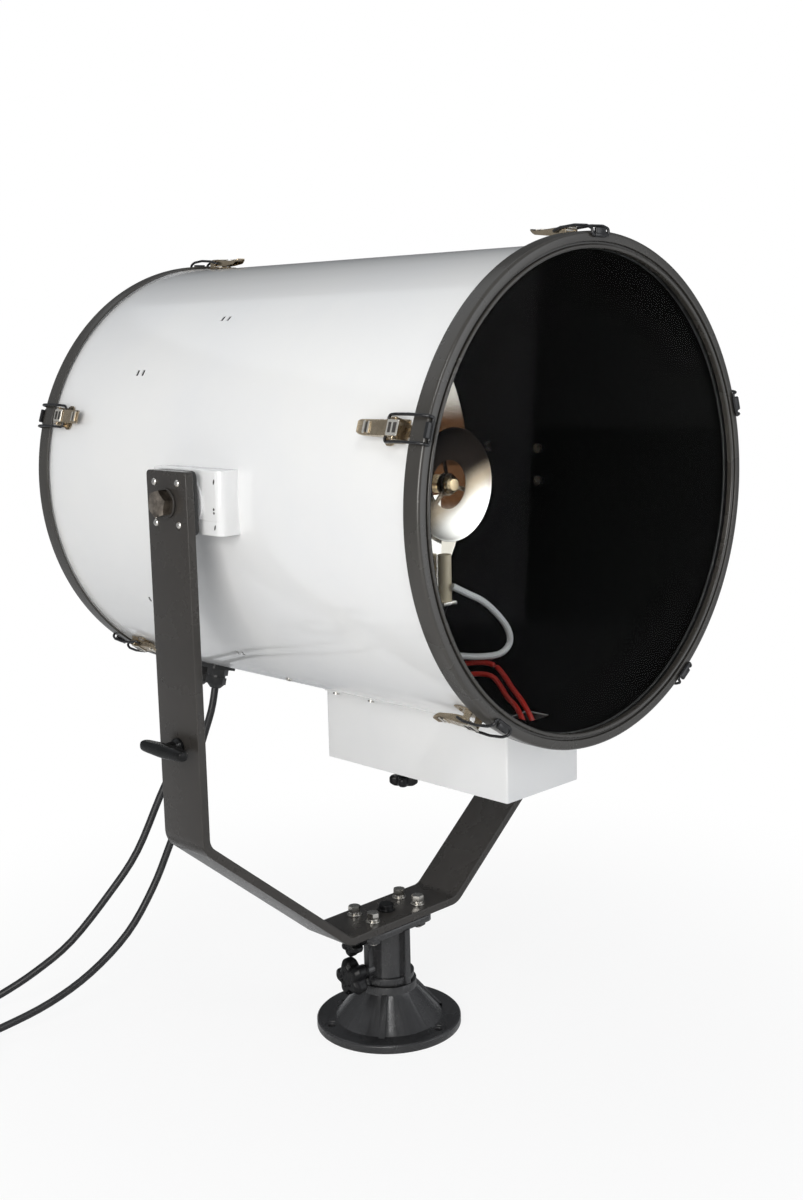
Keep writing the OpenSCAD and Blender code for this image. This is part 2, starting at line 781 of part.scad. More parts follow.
// Flat bars behind the bowl that carry the lamp's rear socket
module lamp_frame() {
    sheet = 4;
    s = strap_slots[0];
    high = inside_r * sin(s[1]);
    color("dimgray") along_drum() difference() {
        union() {
            translate([0, 0, -frame_back - sheet]) linear_extrude(sheet) intersection() {
                union() {
                    for (d = [-1, 1]) translate([0, d * high]) square([2 * drum_r, foot_w], center = true);
                    square([foot_w, 2 * high], center = true);
                    circle(socket_r + 14);
                }
                circle(inside_r - foot_t / 2, $fn = 360);
            }
            for (a = strap_angles(s)) rotate(a)
                shell_foot(frame_back + sheet, frame_back + sheet - s[0] + foot_w / 2);
        }
        translate([0, 0, -frame_back - 2 * sheet]) cylinder(h = 3 * sheet, r = socket_r + run_fit);
    }
}

socket_r = 20;
socket_h = 34;
socket_tail = 24;
socket_floor = 14;
arc_back = vertex_back - focal;
lamp_cap_r = 12;
lamp_tip = cup_front + 2;

// Short-arc lamp: bulb, two stems and metal end caps
module lamp() {
    bulb_r = 24;
    stem_r = 9;
    cap_len = 34;
    end = frame_back + socket_tail - socket_floor;
    color("lightcyan") along_drum() {
        translate([0, 0, -arc_back]) sphere(bulb_r);
        translate([0, 0, -end]) cylinder(h = end + lamp_tip - 4, r = stem_r);
        translate([0, 0, lamp_tip - cap_len]) cylinder(h = cap_len, r = lamp_cap_r);
        translate([0, 0, -end]) cylinder(h = cap_len, r = lamp_cap_r);
    }
}

// Rear socket, the insulating post of the front support and the leads' terminal on the shell's floor
module lamp_ceramics() {
    color("ivory") {
        along_drum() translate([0, 0, -frame_back - socket_tail]) difference() {
            cylinder(h = socket_h, r = socket_r);
            translate([0, 0, socket_floor]) cylinder(h = socket_h, r = lamp_cap_r + run_fit);
        }
        translate([strut_x, post_y, post_foot]) cylinder(h = 62, r = ceramic_r);
        intersection() {
            translate([terminal[0], terminal[1], axis_h - drum_r])
                cylinder(h = terminal_top, r = terminal_r);
            along_drum() cylinder(h = 2 * drum_r, r = inside_r - seat_gap, center = true, $fn = 720);
        }
    }
}

cup_t = 1.5;
arm_back = cup_front - cup_depth - cup_t - 0.5;

// Polished annular cup ahead of the lamp, on a three-armed collar
module cup_reflector() {
    mid_r = (cup_hole_r + cup_r) / 2;
    mid_back = 0.68 * cup_depth;
    collar = [3, 8];
    arm_angle = 270 + asin(strut_x / (cup_hole_r + 1));
    color("gainsboro") along_drum() {
        translate([0, 0, cup_front]) rotate_extrude() {
            polygon([[cup_hole_r, -cup_depth], [mid_r, -mid_back], [cup_r, 0], [cup_r + cup_t, 0],
                     [mid_r + cup_t, -mid_back - cup_t], [cup_hole_r, -cup_depth - cup_t]]);
            translate([lamp_cap_r + run_fit, -cup_depth - collar[1]]) square(collar);
        }
        for (k = [0 : 2]) rotate(arm_angle + 120 * k)
            translate([lamp_cap_r + 2, -3, arm_back]) cube([cup_hole_r - lamp_cap_r + 2, 6, cup_t]);
    }
}

post_foot = axis_h - 150;

// Upright strip from the shell's floor to the cup's arm, with a shelf for the insulating post
module lamp_strut() {
    strip = [20, 4];
    shelf = [24, 24, 4];
    strip_top = axis_h - 12;
    foot_z = axis_h - sqrt(pow(inside_r, 2) - pow(abs(strut_x) + shelf[0] / 2, 2)) + seat_gap;
    color("silver") {
        translate([strut_x - strip[0] / 2, -arm_back, foot_z])
            cube([strip[0], strip[1], strip_top - foot_z]);
        for (z = [foot_z, post_foot - shelf[2]])
            translate([strut_x - shelf[0] / 2, -arm_back + 0.1 - shelf[1], z]) cube(shelf);
    }
}

module above_floor() { translate([0, 0, axis_h - drum_r]) children(); }

// Sleeved lead from the insulating post down to the terminal
module white_lead() { color("whitesmoke") above_floor() route_tube(white_route, lead_r); }

// Two leads from the terminal down through the shell's floor to the ignitor
module red_leads() { color("red") above_floor() for (route = red_routes) route_tube(route, red_r); }

// Ignitor box under the drum

module box_plan(grow) {
    translate([0, (box_rear - box_front) / 2])
        plan(box_w + 2 * grow, box_front + box_rear + 2 * grow, box_round + grow);
}

// Folded box, open to the shell above, with strips that lie on the shell
module ignitor_box() {
    top = drum_r - sqrt(drum_r * drum_r - box_w * box_w / 4) + box_h + 6;
    strip_len = box_front + box_rear - 2 * box_round;
    color(white) difference() {
        union() {
            difference() {
                translate([0, 0, box_z]) linear_extrude(top) box_plan(0);
                translate([0, 0, box_z + box_sheet]) linear_extrude(top) box_plan(-box_sheet);
            }
            both_sides() along_drum() rotate(-90) intersection() {
                translate([0, 0, -box_rear + box_round]) sleeve(drum_r + box_sheet, drum_r - 1, strip_len);
                translate([0, box_w / 2 - box_sheet, -drum_rear])
                    cube([2 * drum_r, box_flange + box_sheet, 2 * drum_rear]);
            }
        }
        shell_cut();
        translate([knob_spot[0], knob_spot[1], box_z - 1])
            cylinder(h = 2 * box_sheet, r = stud_r + run_fit);
    }
}

// Ignitor block on the box's floor, clear of the knob's stud
module ignitor() {
    rear_room = 22;
    left = knob_spot[0] + stud_r + 12;
    color("dimgray") translate([left, -ignitor_front, box_z + box_sheet])
        cube([box_w / 2 - 14 - left, ignitor_front + box_rear - rear_room, box_h / 2]);
}

// Cable glands on a seat plate
module cable_glands() {
    body_h = 9;
    thread_h = 4;
    nut_h = 10;
    nut_top = body_h + thread_h + nut_h;
    color(black) difference() {
        along_drum() rotate(gland_angle) translate([drum_r, 0, -gland_back]) rotate([0, 90, 0]) {
            translate([gland_pitch / 2, 0, -6]) linear_extrude(gland_plate_t + 6)
                plan(gland_pitch + gland_seat[0], gland_seat[1], 8);
            for (k = [0, 1]) translate([k * gland_pitch, 0, gland_plate_t]) {
                hexagon(gland_hex_r, body_h);
                translate([0, 0, body_h]) cylinder(h = thread_h + 1, r = gland_hex_r - 3.5);
                translate([0, 0, body_h + thread_h]) hexagon(gland_hex_r - 1, nut_h);
                translate([0, 0, nut_top]) cylinder(h = gland_out - gland_plate_t - nut_top - seat_gap,
                                                    r1 = gland_hex_r - 3, r2 = cable_r + 2);
            }
        }
        shell_cut();
    }
}

// Toggle latches, five on each ring

function latch_ring(i) = i < latch_n ? bezel_r : rear_r;
function latch_face(i) = i < latch_n ? bezel_y : rear_y;
function pin_w(i) = latch_ring(i) + hook_gap + wire_r + bail_under;

// Frame at a lever's pin: x = outward, y = across, z = towards the ring's face
module at_latch(i) {
    along_drum() mirror([0, 0, i < latch_n ? 0 : 1]) rotate(latch_first + latch_step * (i % latch_n))
        translate([pin_w(i), 0, latch_face(i) - pivot_back]) children();
}

// Side view of a latch part: x = towards the ring, y = outward
module side_view(t) { rotate(a = -120, v = [1, 1, 1]) linear_extrude(t, center = true) children(); }

module cross_pin(r, l) { rotate([90, 0, 0]) cylinder(h = l, r = r, center = true); }

// Seat plates with ears, pins and rivets
module latch_bases() {
    ear_in = lever_w / 2 + ear_gap;
    rivet = [-18, 6];
    color(steel) for (i = [0 : 2 * latch_n - 1]) {
        low = pin_w(i) - drum_r;
        difference() {
            at_latch(i) {
                translate([-low - 1, -ear_in - latch_sheet - 2, -base_back])
                    cube([latch_sheet + 1, 2 * (ear_in + latch_sheet + 2), base_back + base_ahead]);
                for (s = [-1, 1]) translate([0, s * (ear_in + latch_sheet / 2), 0]) side_view(latch_sheet) {
                    circle(4.5);
                    polygon([[-4.5, 0], [4.5, 0], [7, -low], [-7, -low]]);
                }
                cross_pin(pin_r, 2 * (ear_in + latch_sheet + 0.8));
                for (u = rivet) translate([-low + latch_sheet - 0.2, 0, u]) rotate([0, 90, 0])
                    cylinder(h = 1, r = 2.5);
            }
            shell_cut();
        }
    }
}

// Folded lever: two flanges under a handle plate with a lifted tip
module latch_lever(i) {
    slot = [9, 7];
    color(steel) at_latch(i) difference() {
        union() {
            for (s = [-1, 1]) translate([0, s * (lever_w - latch_sheet) / 2, 0]) side_view(latch_sheet)
                polygon([[4, 4.5], [4, -2.5], [-bail_back - 3, -bail_under - 3], [-bail_back - 10, -3],
                         [8 - lever_len, 0], [8 - lever_len, 1.5]]);
            side_view(lever_w) polygon([[4, 4], [8 - lever_len, 1], [-lever_len, 3],
                [-lever_len, 3 + latch_sheet], [8 - lever_len, 1 + latch_sheet], [4, 4 + latch_sheet]]);
        }
        cross_pin(pin_r + run_fit, 2 * lever_w);
        translate([-bail_under, 0, -bail_back]) cross_pin(wire_r + run_fit, 2 * lever_w);
        translate([0, 0, 18 - lever_len]) cube([20, slot[0], slot[1]], center = true);
    }
}

// Wire loop from the lever to the ring's face
module latch_bail(i) {
    tip = pivot_back + hook_gap + wire_r;
    drop = hook_gap + wire_r + hook_drop;
    inner = lever_w / 2 - latch_sheet - 1;
    color(black) at_latch(i) translate([-bail_under, 0, 0]) {
        for (s = [-1, 1]) {
            translate([0, s * (bail_v + inner) / 2, -bail_back]) cross_pin(wire_r, bail_v - inner);
            translate([0, s * bail_v, -bail_back]) {
                sphere(wire_r);
                cylinder(h = tip + bail_back, r = wire_r);
            }
            translate([0, s * bail_v, tip]) {
                sphere(wire_r);
                rotate([0, -90, 0]) cylinder(h = drop, r = wire_r);
                translate([-drop, 0, 0]) sphere(wire_r);
            }
        }
        translate([-drop, 0, tip]) cross_pin(wire_r, 2 * bail_v);
    }
}

// Supply cables: hanging stretch and the spare length coiled on the deck

module cable_front() { color(black) route_tube(front_route, cable_r); }

module cable_rear() { color(black) route_tube(rear_route, cable_r); }

module coil(at) {
    color(black) translate([at[0], at[1], 0]) rotate_extrude()
        translate([coil_mid, coil_size[1] / 2]) plan(coil_size[0], coil_size[1], cable_r);
}

module coil_front() { coil(coil_front_at); }

module coil_rear() { coil(coil_rear_at); }

base_casting();
pan_spindle();
thrust_washer();
pedestal_post();
pan_bush();
yoke_bar();
yoke_fasteners();
spindle_cap();
bearing_plates();
trunnion_bushes();
pan_lock_knob();
pan_drag_knob();
t_handle();
box_knob();
drum_shell();
trunnion_blocks();
trunnion_bolts();
drum_screws();
front_bezel();
front_glass();
rear_ring();
rear_cover();
ring_seals();
reflector();
reflector_brackets();
lamp_frame();
lamp();
lamp_ceramics();
cup_reflector();
lamp_strut();
white_lead();
red_leads();
ignitor_box();
ignitor();
cable_glands();
latch_bases();
for (i = [0 : 2 * latch_n - 1]) latch_lever(i);
for (i = [0 : 2 * latch_n - 1]) latch_bail(i);
cable_front();
cable_rear();
coil_front();
coil_rear();
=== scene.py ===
from math import acos, asin, cos, degrees, pi, radians, sin, tan

import bmesh
import bpy
import numpy as np
from mathutils import Matrix, Vector
from numpy.linalg import norm


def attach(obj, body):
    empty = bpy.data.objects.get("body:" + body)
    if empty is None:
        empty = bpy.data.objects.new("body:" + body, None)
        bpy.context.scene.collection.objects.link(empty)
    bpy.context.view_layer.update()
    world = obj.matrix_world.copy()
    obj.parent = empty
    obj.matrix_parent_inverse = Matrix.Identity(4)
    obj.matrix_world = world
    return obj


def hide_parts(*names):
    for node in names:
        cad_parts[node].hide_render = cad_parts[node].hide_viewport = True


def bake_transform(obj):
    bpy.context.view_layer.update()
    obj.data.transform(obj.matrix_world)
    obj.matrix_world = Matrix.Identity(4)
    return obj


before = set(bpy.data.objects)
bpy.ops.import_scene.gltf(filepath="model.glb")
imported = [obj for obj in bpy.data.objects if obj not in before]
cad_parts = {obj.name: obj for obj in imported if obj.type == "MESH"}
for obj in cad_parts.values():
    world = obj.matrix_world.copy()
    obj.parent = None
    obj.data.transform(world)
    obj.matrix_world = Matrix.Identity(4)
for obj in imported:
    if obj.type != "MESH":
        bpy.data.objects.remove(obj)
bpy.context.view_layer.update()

# Camera: the photograph's viewpoint, fitted to the drum's circles and the yoke's straight edges.
# It looks slightly down at the searchlight's front quarter from a little above the tilt axis.
cam_at = Vector((-1.411, -1.4693, 0.9863))
cam_yaw, cam_pitch, cam_roll = -0.7809, 0.1761, -0.0229
lens_mm, sensor_mm, clip_end_m = 44.66, 36.0, 50.0
flat_back = cos(cam_pitch)
back = Vector((sin(cam_yaw) * flat_back, -cos(cam_yaw) * flat_back, sin(cam_pitch)))
level = Vector((cos(cam_yaw), sin(cam_yaw), 0.0))
above = back.cross(level)
right = cos(cam_roll) * level + sin(cam_roll) * above
up = -sin(cam_roll) * level + cos(cam_roll) * above


def add_object(name, data):
    """A new object in the scene."""
    made = bpy.data.objects.new(name, data)
    bpy.context.scene.collection.objects.link(made)
    return made


camera = add_object("camera", bpy.data.cameras.new("camera"))
camera.data.lens = lens_mm
camera.data.sensor_width = sensor_mm
camera.data.clip_end = clip_end_m
camera.matrix_world = Matrix((*zip(right, up, back, cam_at), (0, 0, 0, 1)))
bpy.context.scene.camera = camera
bpy.context.scene.view_settings.view_transform = "Standard"

# Stage: a pale floor that runs into a white backdrop, and soft lamps as in a studio: a key on the left, a
# wide fill low in front, a small one for highlights and a weak one overhead. Mirror reflections see a darker
# room behind the object, as the photograph's dark upper faces do.
ambient_light, dark_room, room_back = 0.40, 0.10, (0.69, 0.72, 0.0)
floor_radius = 14.0


def feed(tree, node, inputs):
    """Sets a node's inputs, each to a constant, an output, or the first active output of another node."""
    for socket, value in inputs.items():
        if isinstance(value, bpy.types.Node):
            value = next(o for o in value.outputs if o.enabled)
        if isinstance(value, bpy.types.NodeSocket):
            tree.links.new(value, node.inputs[socket])
        else:
            node.inputs[socket].default_value = value


def add_node(tree, kind, inputs=None, **settings):
    """A new shader node: first its settings, then its inputs."""
    node = tree.nodes.new("ShaderNode" + kind)
    for label, value in settings.items():
        setattr(node, label, value)
    feed(tree, node, inputs or {})
    return node


def new_finish(name, **sockets):
    """A material with a Principled shader whose constant sockets are set directly."""
    mat = bpy.data.materials.new(name)
    mat.use_nodes = True
    shader = mat.node_tree.nodes["Principled BSDF"]
    for label, value in sockets.items():
        is_colour = isinstance(value, tuple) and len(value) == 3
        shader.inputs[label.replace("_", " ")].default_value = (*value, 1.0) if is_colour else value
    return mat, mat.node_tree, shader


def angles(n):
    """Even angles round a circle, without the last."""
    return np.linspace(0, 2 * np.pi, n, endpoint=False)


def columns(*values):
    """Points from their coordinates, each spread over the same rows."""
    return np.stack(np.broadcast_arrays(*values), -1)


world = bpy.data.worlds.new("studio")
bpy.context.scene.world = world
world.use_nodes = True
sky = world.node_tree
sky.nodes.clear()
seen = add_node(sky, "LightPath").outputs
toward = add_node(sky, "TexCoord").outputs["Generated"]
behind = add_node(sky, "VectorMath", {0: toward, 1: room_back}, operation="DOT_PRODUCT")
dimmed = add_node(sky, "MapRange", {
    "Value": behind, "From Min": 0.3, "From Max": 0.8, "To Min": ambient_light, "To Max": dark_room})
brightness = add_node(sky, "Mix", {"Factor": seen["Is Glossy Ray"], "A": ambient_light, "B": dimmed})
ambient = add_node(sky, "Background", {"Color": (0.93, 0.96, 1.0, 1), "Strength": brightness})
backdrop = add_node(sky, "Background", {"Color": (1, 1, 1, 1), "Strength": 1.0})
shown = add_node(sky, "Math", {0: seen["Is Camera Ray"], 1: seen["Is Transmission Ray"]}, operation="ADD",
    use_clamp=True)
both = add_node(sky, "MixShader", {"Fac": shown, 1: ambient, 2: backdrop})
add_node(sky, "OutputWorld", {"Surface": both})

floor_mesh = bpy.data.meshes.new("floor")
around = angles(64)
floor_rim = columns(floor_radius * np.cos(around), floor_radius * np.sin(around), 0.0)
floor_mesh.from_pydata(floor_rim.tolist(), [], [list(range(len(around)))])
floor = add_object("floor", floor_mesh)
floor_mat, floor_tree, floor_shader = new_finish(
    "pale_floor", Base_Color=(0.86, 0.86, 0.86), Roughness=0.9, Specular_IOR_Level=0.1)
floor_glow = add_node(floor_tree, "Emission", {"Color": (1, 1, 1, 1)})
floor_place = add_node(floor_tree, "NewGeometry").outputs["Position"]
floor_reach = add_node(floor_tree, "VectorMath", {0: floor_place}, operation="LENGTH")
floor_fade = add_node(floor_tree, "MapRange", {
    "Value": floor_reach, "From Min": 0.3, "From Max": 1.2, "To Min": 0.86, "To Max": 1.0},
    interpolation_type="SMOOTHSTEP")
floor_seen = add_node(floor_tree, "LightPath").outputs["Is Camera Ray"]
floor_share = add_node(floor_tree, "Math", {0: floor_seen, 1: floor_fade}, operation="MULTIPLY")
floor_mix = add_node(floor_tree, "MixShader", {"Fac": floor_share, 1: floor_shader, 2: floor_glow})
feed(floor_tree, floor_tree.nodes["Material Output"], {"Surface": floor_mix})
floor_mesh.materials.append(floor_mat)


def soft_lamp(name, at, look, size, watts, colour):
    """A square area lamp at a point, turned to face another."""
    data = bpy.data.lights.new(name, "AREA")
    data.size, data.energy, data.color = size, watts, colour
    lamp = add_object(name, data)
    facing = (Vector(at) - Vector(look)).to_track_quat("Z", "Y").to_matrix().to_4x4()
    lamp.matrix_world = Matrix.Translation(at) @ facing


soft_lamp("key_lamp", (-3.0, -1.5, 1.45), (0, 0, 0.7), 1.8, 66, (1.0, 0.98, 0.95))
soft_lamp("fill_lamp", (1.35, -3.0, 0.95), (0, 0, 0.6), 2.4, 26, (0.95, 0.97, 1.0))
soft_lamp("spark_lamp", (-1.35, -1.55, 2.36), (0, 0, 0.2), 0.5, 8, (1.0, 1.0, 1.0))
soft_lamp("top_lamp", (-0.4, 1.2, 3.2), (0, 0, 0.7), 2.6, 9, (0.92, 0.96, 1.0))

# Supply cables: two 11 mm black rubber cables leave the glands under the drum's rear, hang to the deck and
# run off to the left. The spare length of each lies in a tied coil outside the view, its cores stripped.
MM = 0.001
AXIS = 793.0
cable_d, coil_mid, coil_step, coil_turns_deg = 11.0, 62.0, 5.6, 1010
gland_angle, gland_reach = radians(255.0), 330


def grid(points, close_u=False, close_v=False, caps=False):
    """A surface from a grid of points: quads between neighbouring rows (u) and columns (v), wrapped where
    closed. With caps, the first and last rows are faces too."""
    nu, nv = points.shape[:2]
    i = np.arange(nu if close_u else nu - 1)[:, None]
    j = np.arange(nv if close_v else nv - 1)[None, :]
    i2, j2 = (i + 1) % nu, (j + 1) % nv
    quads = columns(i * nv + j, i2 * nv + j, i2 * nv + j2, i * nv + j2).reshape(-1, 4)
    ends = [list(range(nv))[::-1], list(range((nu - 1) * nv, nu * nv))] if caps else []
    return points.reshape(-1, 3), quads.tolist() + ends


def piece(name, parts, material, body, stands_for=None, sharp=35.0):
    """One mesh object from parts in millimetres: doubles merged, flat faces dropped, normals outward, edges
    above the sharp angle kept crisp. It rides on its body, and stands for a solid if named."""
    verts, faces, base = [], [], 0
    for points, polys in parts:
        verts.append(np.asarray(points, float).reshape(-1, 3))
        faces += [[base + k for k in poly] for poly in polys]
        base += len(verts[-1])
    mesh = bpy.data.meshes.new(name)
    mesh.from_pydata((np.concatenate(verts) * MM).tolist(), [], faces)
    work = bmesh.new()
    work.from_mesh(mesh)
    bmesh.ops.remove_doubles(work, verts=work.verts, dist=2e-6)
    bmesh.ops.dissolve_degenerate(work, edges=work.edges, dist=1e-6)
    bmesh.ops.recalc_face_normals(work, faces=work.faces)
    work.to_mesh(mesh)
    work.free()
    mesh.polygons.foreach_set("use_smooth", np.ones(len(mesh.polygons), bool))
    mesh.set_sharp_from_angle(angle=radians(sharp))
    mesh.materials.append(material)
    made = add_object(name, mesh)
    if body:
        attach(made, body)
    if stands_for:
        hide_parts(stands_for)
    return made


def smooth_route(points, steps):
    """Catmull-Rom curve through the points, with the end points doubled, sampled at steps per span."""
    p = np.asarray(points, float)
    p = np.concatenate([p[:1], p, p[-1:]])
    f = (np.arange(steps) / steps)[None, :, None]
    a, b, c, d = (p[k:len(p) - 3 + k][:, None, :] for k in range(4))
    square, cube = 2 * a - 5 * b + 4 * c - d, 3 * b - a - 3 * c + d
    curve = 0.5 * (2 * b + (c - a) * f + square * f ** 2 + cube * f ** 3)
    return np.concatenate([curve.reshape(-1, 3), p[-1:]])


def tube(path, radius, sides):
    """A round section carried along a path. Each section's frame is the last one turned by the least angle
    to the new direction; the ends close to their centres."""
    path = np.asarray(path, float)
    radius = np.broadcast_to(np.asarray(radius, float), len(path))[:, None, None]
    ahead = np.roll(path, -1, 0) - np.roll(path, 1, 0)
    ahead[0], ahead[-1] = path[1] - path[0], path[-1] - path[-2]
    ahead /= norm(ahead, axis=1, keepdims=True)
    side = np.empty_like(path)
    first = np.cross(ahead[0], [0.31, 0.17, 0.93])
    side[0] = first / norm(first)
    for k in range(1, len(path)):
        s = side[k - 1] - ahead[k] * side[k - 1].dot(ahead[k])
        side[k] = s / norm(s)
    other = np.cross(ahead, side)
    turn = angles(sides)[None, :, None]
    rings = path[:, None] + radius * (np.cos(turn) * side[:, None] + np.sin(turn) * other[:, None])
    tip, end = (np.repeat(p[:, None], sides, 1) for p in (path[:1], path[-1:]))
    return grid(np.concatenate([tip, rings, end]), close_v=True)


def node_group(name, inputs, outputs):
    """A new shader node group with named Float or Color sockets: its tree, what it is given, its output."""
    tree = bpy.data.node_groups.new(name, "ShaderNodeTree")
    for way, sockets in (("INPUT", inputs), ("OUTPUT", outputs)):
        for label, kind in sockets.items():
            tree.interface.new_socket(label, in_out=way, socket_type="NodeSocket" + kind)
    return tree, tree.nodes.new("NodeGroupInput").outputs, tree.nodes.new("NodeGroupOutput")


# Fine unevenness shared by the finishes, from two noises over Object coordinates: the broad one mixes two
# colours and spreads the roughness, and the fine one is a height.
uneven, given, uneven_out = node_group(
    "uneven_surface",
    {"Grain Size": "Float", "Colour": "Color", "Second Colour": "Color", "Patch Size": "Float",
     "Roughness": "Float", "Roughness Spread": "Float"},
    {"Colour": "Color", "Roughness": "Float", "Height": "Float"})
spot = add_node(uneven, "TexCoord").outputs["Object"]
fine = add_node(uneven, "TexNoise", {"Vector": spot, "Scale": given["Grain Size"], "Detail": 3.0})
broad = add_node(uneven, "TexNoise", {
    "Vector": spot, "Scale": given["Patch Size"], "Detail": 5.0, "Roughness": 0.6})
patchy = add_node(uneven, "MapRange", {"Value": broad, "From Min": 0.35, "From Max": 0.7})
tone = add_node(uneven, "Mix", {"Factor": patchy, "A": given["Colour"], "B": given["Second Colour"]},
    data_type="RGBA")
spread = add_node(uneven, "Math", {0: patchy, 1: given["Roughness Spread"], 2: given["Roughness"]},
    operation="MULTIPLY_ADD")
feed(uneven, uneven_out, {"Colour": tone, "Roughness": spread, "Height": fine})


def surface(name, colour, second, rough, spread_by, grain, patch, bump, depth=0.0003, **sockets):
    """A finish on the shared unevenness: two colours, each three values or one grey, a roughness range and a
    bump of the given depth."""
    mat, tree, shader = new_finish(name, **sockets)
    first, last = ((c, c, c, 1) if isinstance(c, float) else (*c, 1) for c in (colour, second))
    group = add_node(tree, "Group", {
        "Grain Size": grain, "Patch Size": patch, "Colour": first, "Second Colour": last,
        "Roughness": rough, "Roughness Spread": spread_by}, node_tree=uneven).outputs
    relief = add_node(tree, "Bump", {"Height": group["Height"], "Strength": bump, "Distance": depth})
    feed(tree, shader, {"Base Color": group["Colour"], "Roughness": group["Roughness"], "Normal": relief})
    return mat


def metal(name, *looks, depth=0.0002):
    """Bare metal on the shared unevenness."""
    return surface(name, *looks, depth, Metallic=1.0)


cable_rubber = surface("cable_rubber", (0.010, 0.010, 0.011), (0.018, 0.018, 0.019), 0.34, 0.16,
    900, 60, 0.15)
core_colours = {"brown": (0.09, 0.035, 0.015), "blue": (0.02, 0.08, 0.35), "green": (0.05, 0.22, 0.03)}
core_finish = {
    k: surface(f"core_{k}", c, tuple(x * 0.8 for x in c), 0.4, 0.1, 500, 80, 0.05, 0.0002)
    for k, c in core_colours.items()}
ferrule_tin = metal("ferrule_tin", 0.62, 0.5, 0.25, 0.15, 700, 90, 0.1)


def below_gland(back_by, out):
    """A point on a gland's axis, out beyond the drum's wall at the glands' angle."""
    r = gland_reach + out
    return [r * cos(gland_angle), back_by, AXIS + r * sin(gland_angle)]


def coil_path(centre, start, sense):
    """Turns on a 2 by 2 section: the angle grows evenly while radius and height step over within 70 degrees,
    in the order outer low, inner low, inner high, outer high."""
    t = np.arange(0, coil_turns_deg + 1, 10.0)
    ease = lambda lo: 0.5 - 0.5 * np.cos(np.pi * np.clip((t - lo) / 70.0, 0, 1))
    r = coil_mid + coil_step * (1 - 2 * ease(290) + 2 * ease(870))
    z = cable_d / 2 + 2 * coil_step * ease(580)
    a = np.radians(start + sense * t)
    return columns(centre[0] + r * np.cos(a), centre[1] + r * np.sin(a), z)


cable_plan = {
    "front": ([below_gland(268, 0), below_gland(268, 35), [-108, 278, 390], [-125, 290, 320],
               [-155, 306, 238], [-183, 316, 175], [-228, 322, 116], [-288, 334, 69], [-352, 346, 40],
               [-415, 366, 20], [-462, 386, 8]], (-531, 350), 57.4, 1),
    "rear": ([below_gland(308, 0), below_gland(308, 35), [-115, 318, 380], [-150, 330, 310],
              [-188, 344, 228], [-230, 360, 170], [-284, 388, 102], [-330, 418, 60], [-374, 446, 30],
              [-415, 470, 10]], (-424, 546), -111.3, -1),
}
core_r, core_reach, core_gap = 1.5, 34, 3.2
tie_half, tie_thick, tie_mid_z = 5.0, 0.09, 11.6
loop = angles(40)
tie_shape = columns(*(
    np.sign(w) * np.abs(w) ** 0.55 * half for w, half in ((np.cos(loop), 12.2), (np.sin(loop), 12.0))))
for which, (hang, centre, start, sense) in cable_plan.items():
    line = smooth_route(np.concatenate([hang, coil_path(centre, start, sense)]), 4)
    line[:, 2] = np.maximum(line[:, 2], cable_d / 2 + 0.1)
    cable = piece(f"cable_{which}_line", [tube(line, cable_d / 2, 14)], cable_rubber, None)
    # stripped end: three cores fanned a little out of the jacket, each with a crimped ferrule
    tail, lead = line[-1], line[-1] - line[-5]
    lead /= norm(lead)
    across = np.cross(lead, [0, 0, 1.0])
    tails, ties = [], []
    for k, (tone_name, finish) in enumerate(core_finish.items()):
        off = across * (k - 1) * core_gap + np.array([0, 0, 1.6 if k == 1 else -1.0])
        s = np.linspace(0, 1, 9)[:, None]
        run = tail + off * (1 + 0.9 * s ** 2) + lead * (core_reach * s - 2)
        tip = run[-1] + lead * np.array([-1.0, 4.0, 9.0])[:, None]
        for part, shape, look in (
                ("core", tube(run, core_r, 10), finish),
                ("ferrule", tube(tip, [1.9, 1.35, 1.2], 10), ferrule_tin)):
            tails.append(piece(f"cable_{which}_{part}_{tone_name}", [shape], look, "yoke"))
    # two hook ties round the coil's section
    for k, a in enumerate(np.radians([start + sense * 200, start + sense * 330])):
        out, along = np.array([cos(a), sin(a), 0]), np.array([-sin(a), cos(a), 0])
        mid = np.array([*centre, tie_mid_z]) + coil_mid * out
        ring = mid + tie_shape[:, :1] * out + tie_shape[:, 1:] * np.array([0, 0, 0.97])
        band = ring[:, None] + tie_half * np.array([[-1], [-1], [1], [1]]) * along
        band += (ring - mid)[:, None] * tie_thick * np.array([[0], [1], [1], [0]])
        band[..., 2] = np.maximum(band[..., 2], [0.6, 0.1, 0.1, 0.6])
        ties.append(piece(f"cable_{which}_tie_{k}", [grid(band, close_u=True, close_v=True)],
            cable_rubber, "yoke"))
    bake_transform(cable)
    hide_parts(f"cable_{which}", f"coil_{which}")
    run_length = float(norm(np.diff(line, axis=0), axis=1).sum()) * MM

# Base casting: an aluminium sand casting in grey textured paint, with a hollow ribbed cone and a flange that
# three deck bolts hold down. The steel spindle is pressed into its neck.
grey_cast = surface("grey_cast_paint", (0.020, 0.020, 0.021), (0.030, 0.030, 0.031), 0.2, 0.12,
    420, 18, 0.3, 0.0006, Specular_IOR_Level=0.7)
turned_steel = metal("turned_steel", 0.52, 0.42, 0.24, 0.16, 900, 40, 0.1)
washer_nylon = surface("washer_nylon", (0.72, 0.7, 0.62), (0.64, 0.62, 0.55), 0.45, 0.1,
    600, 40, 0.1, 0.0002)


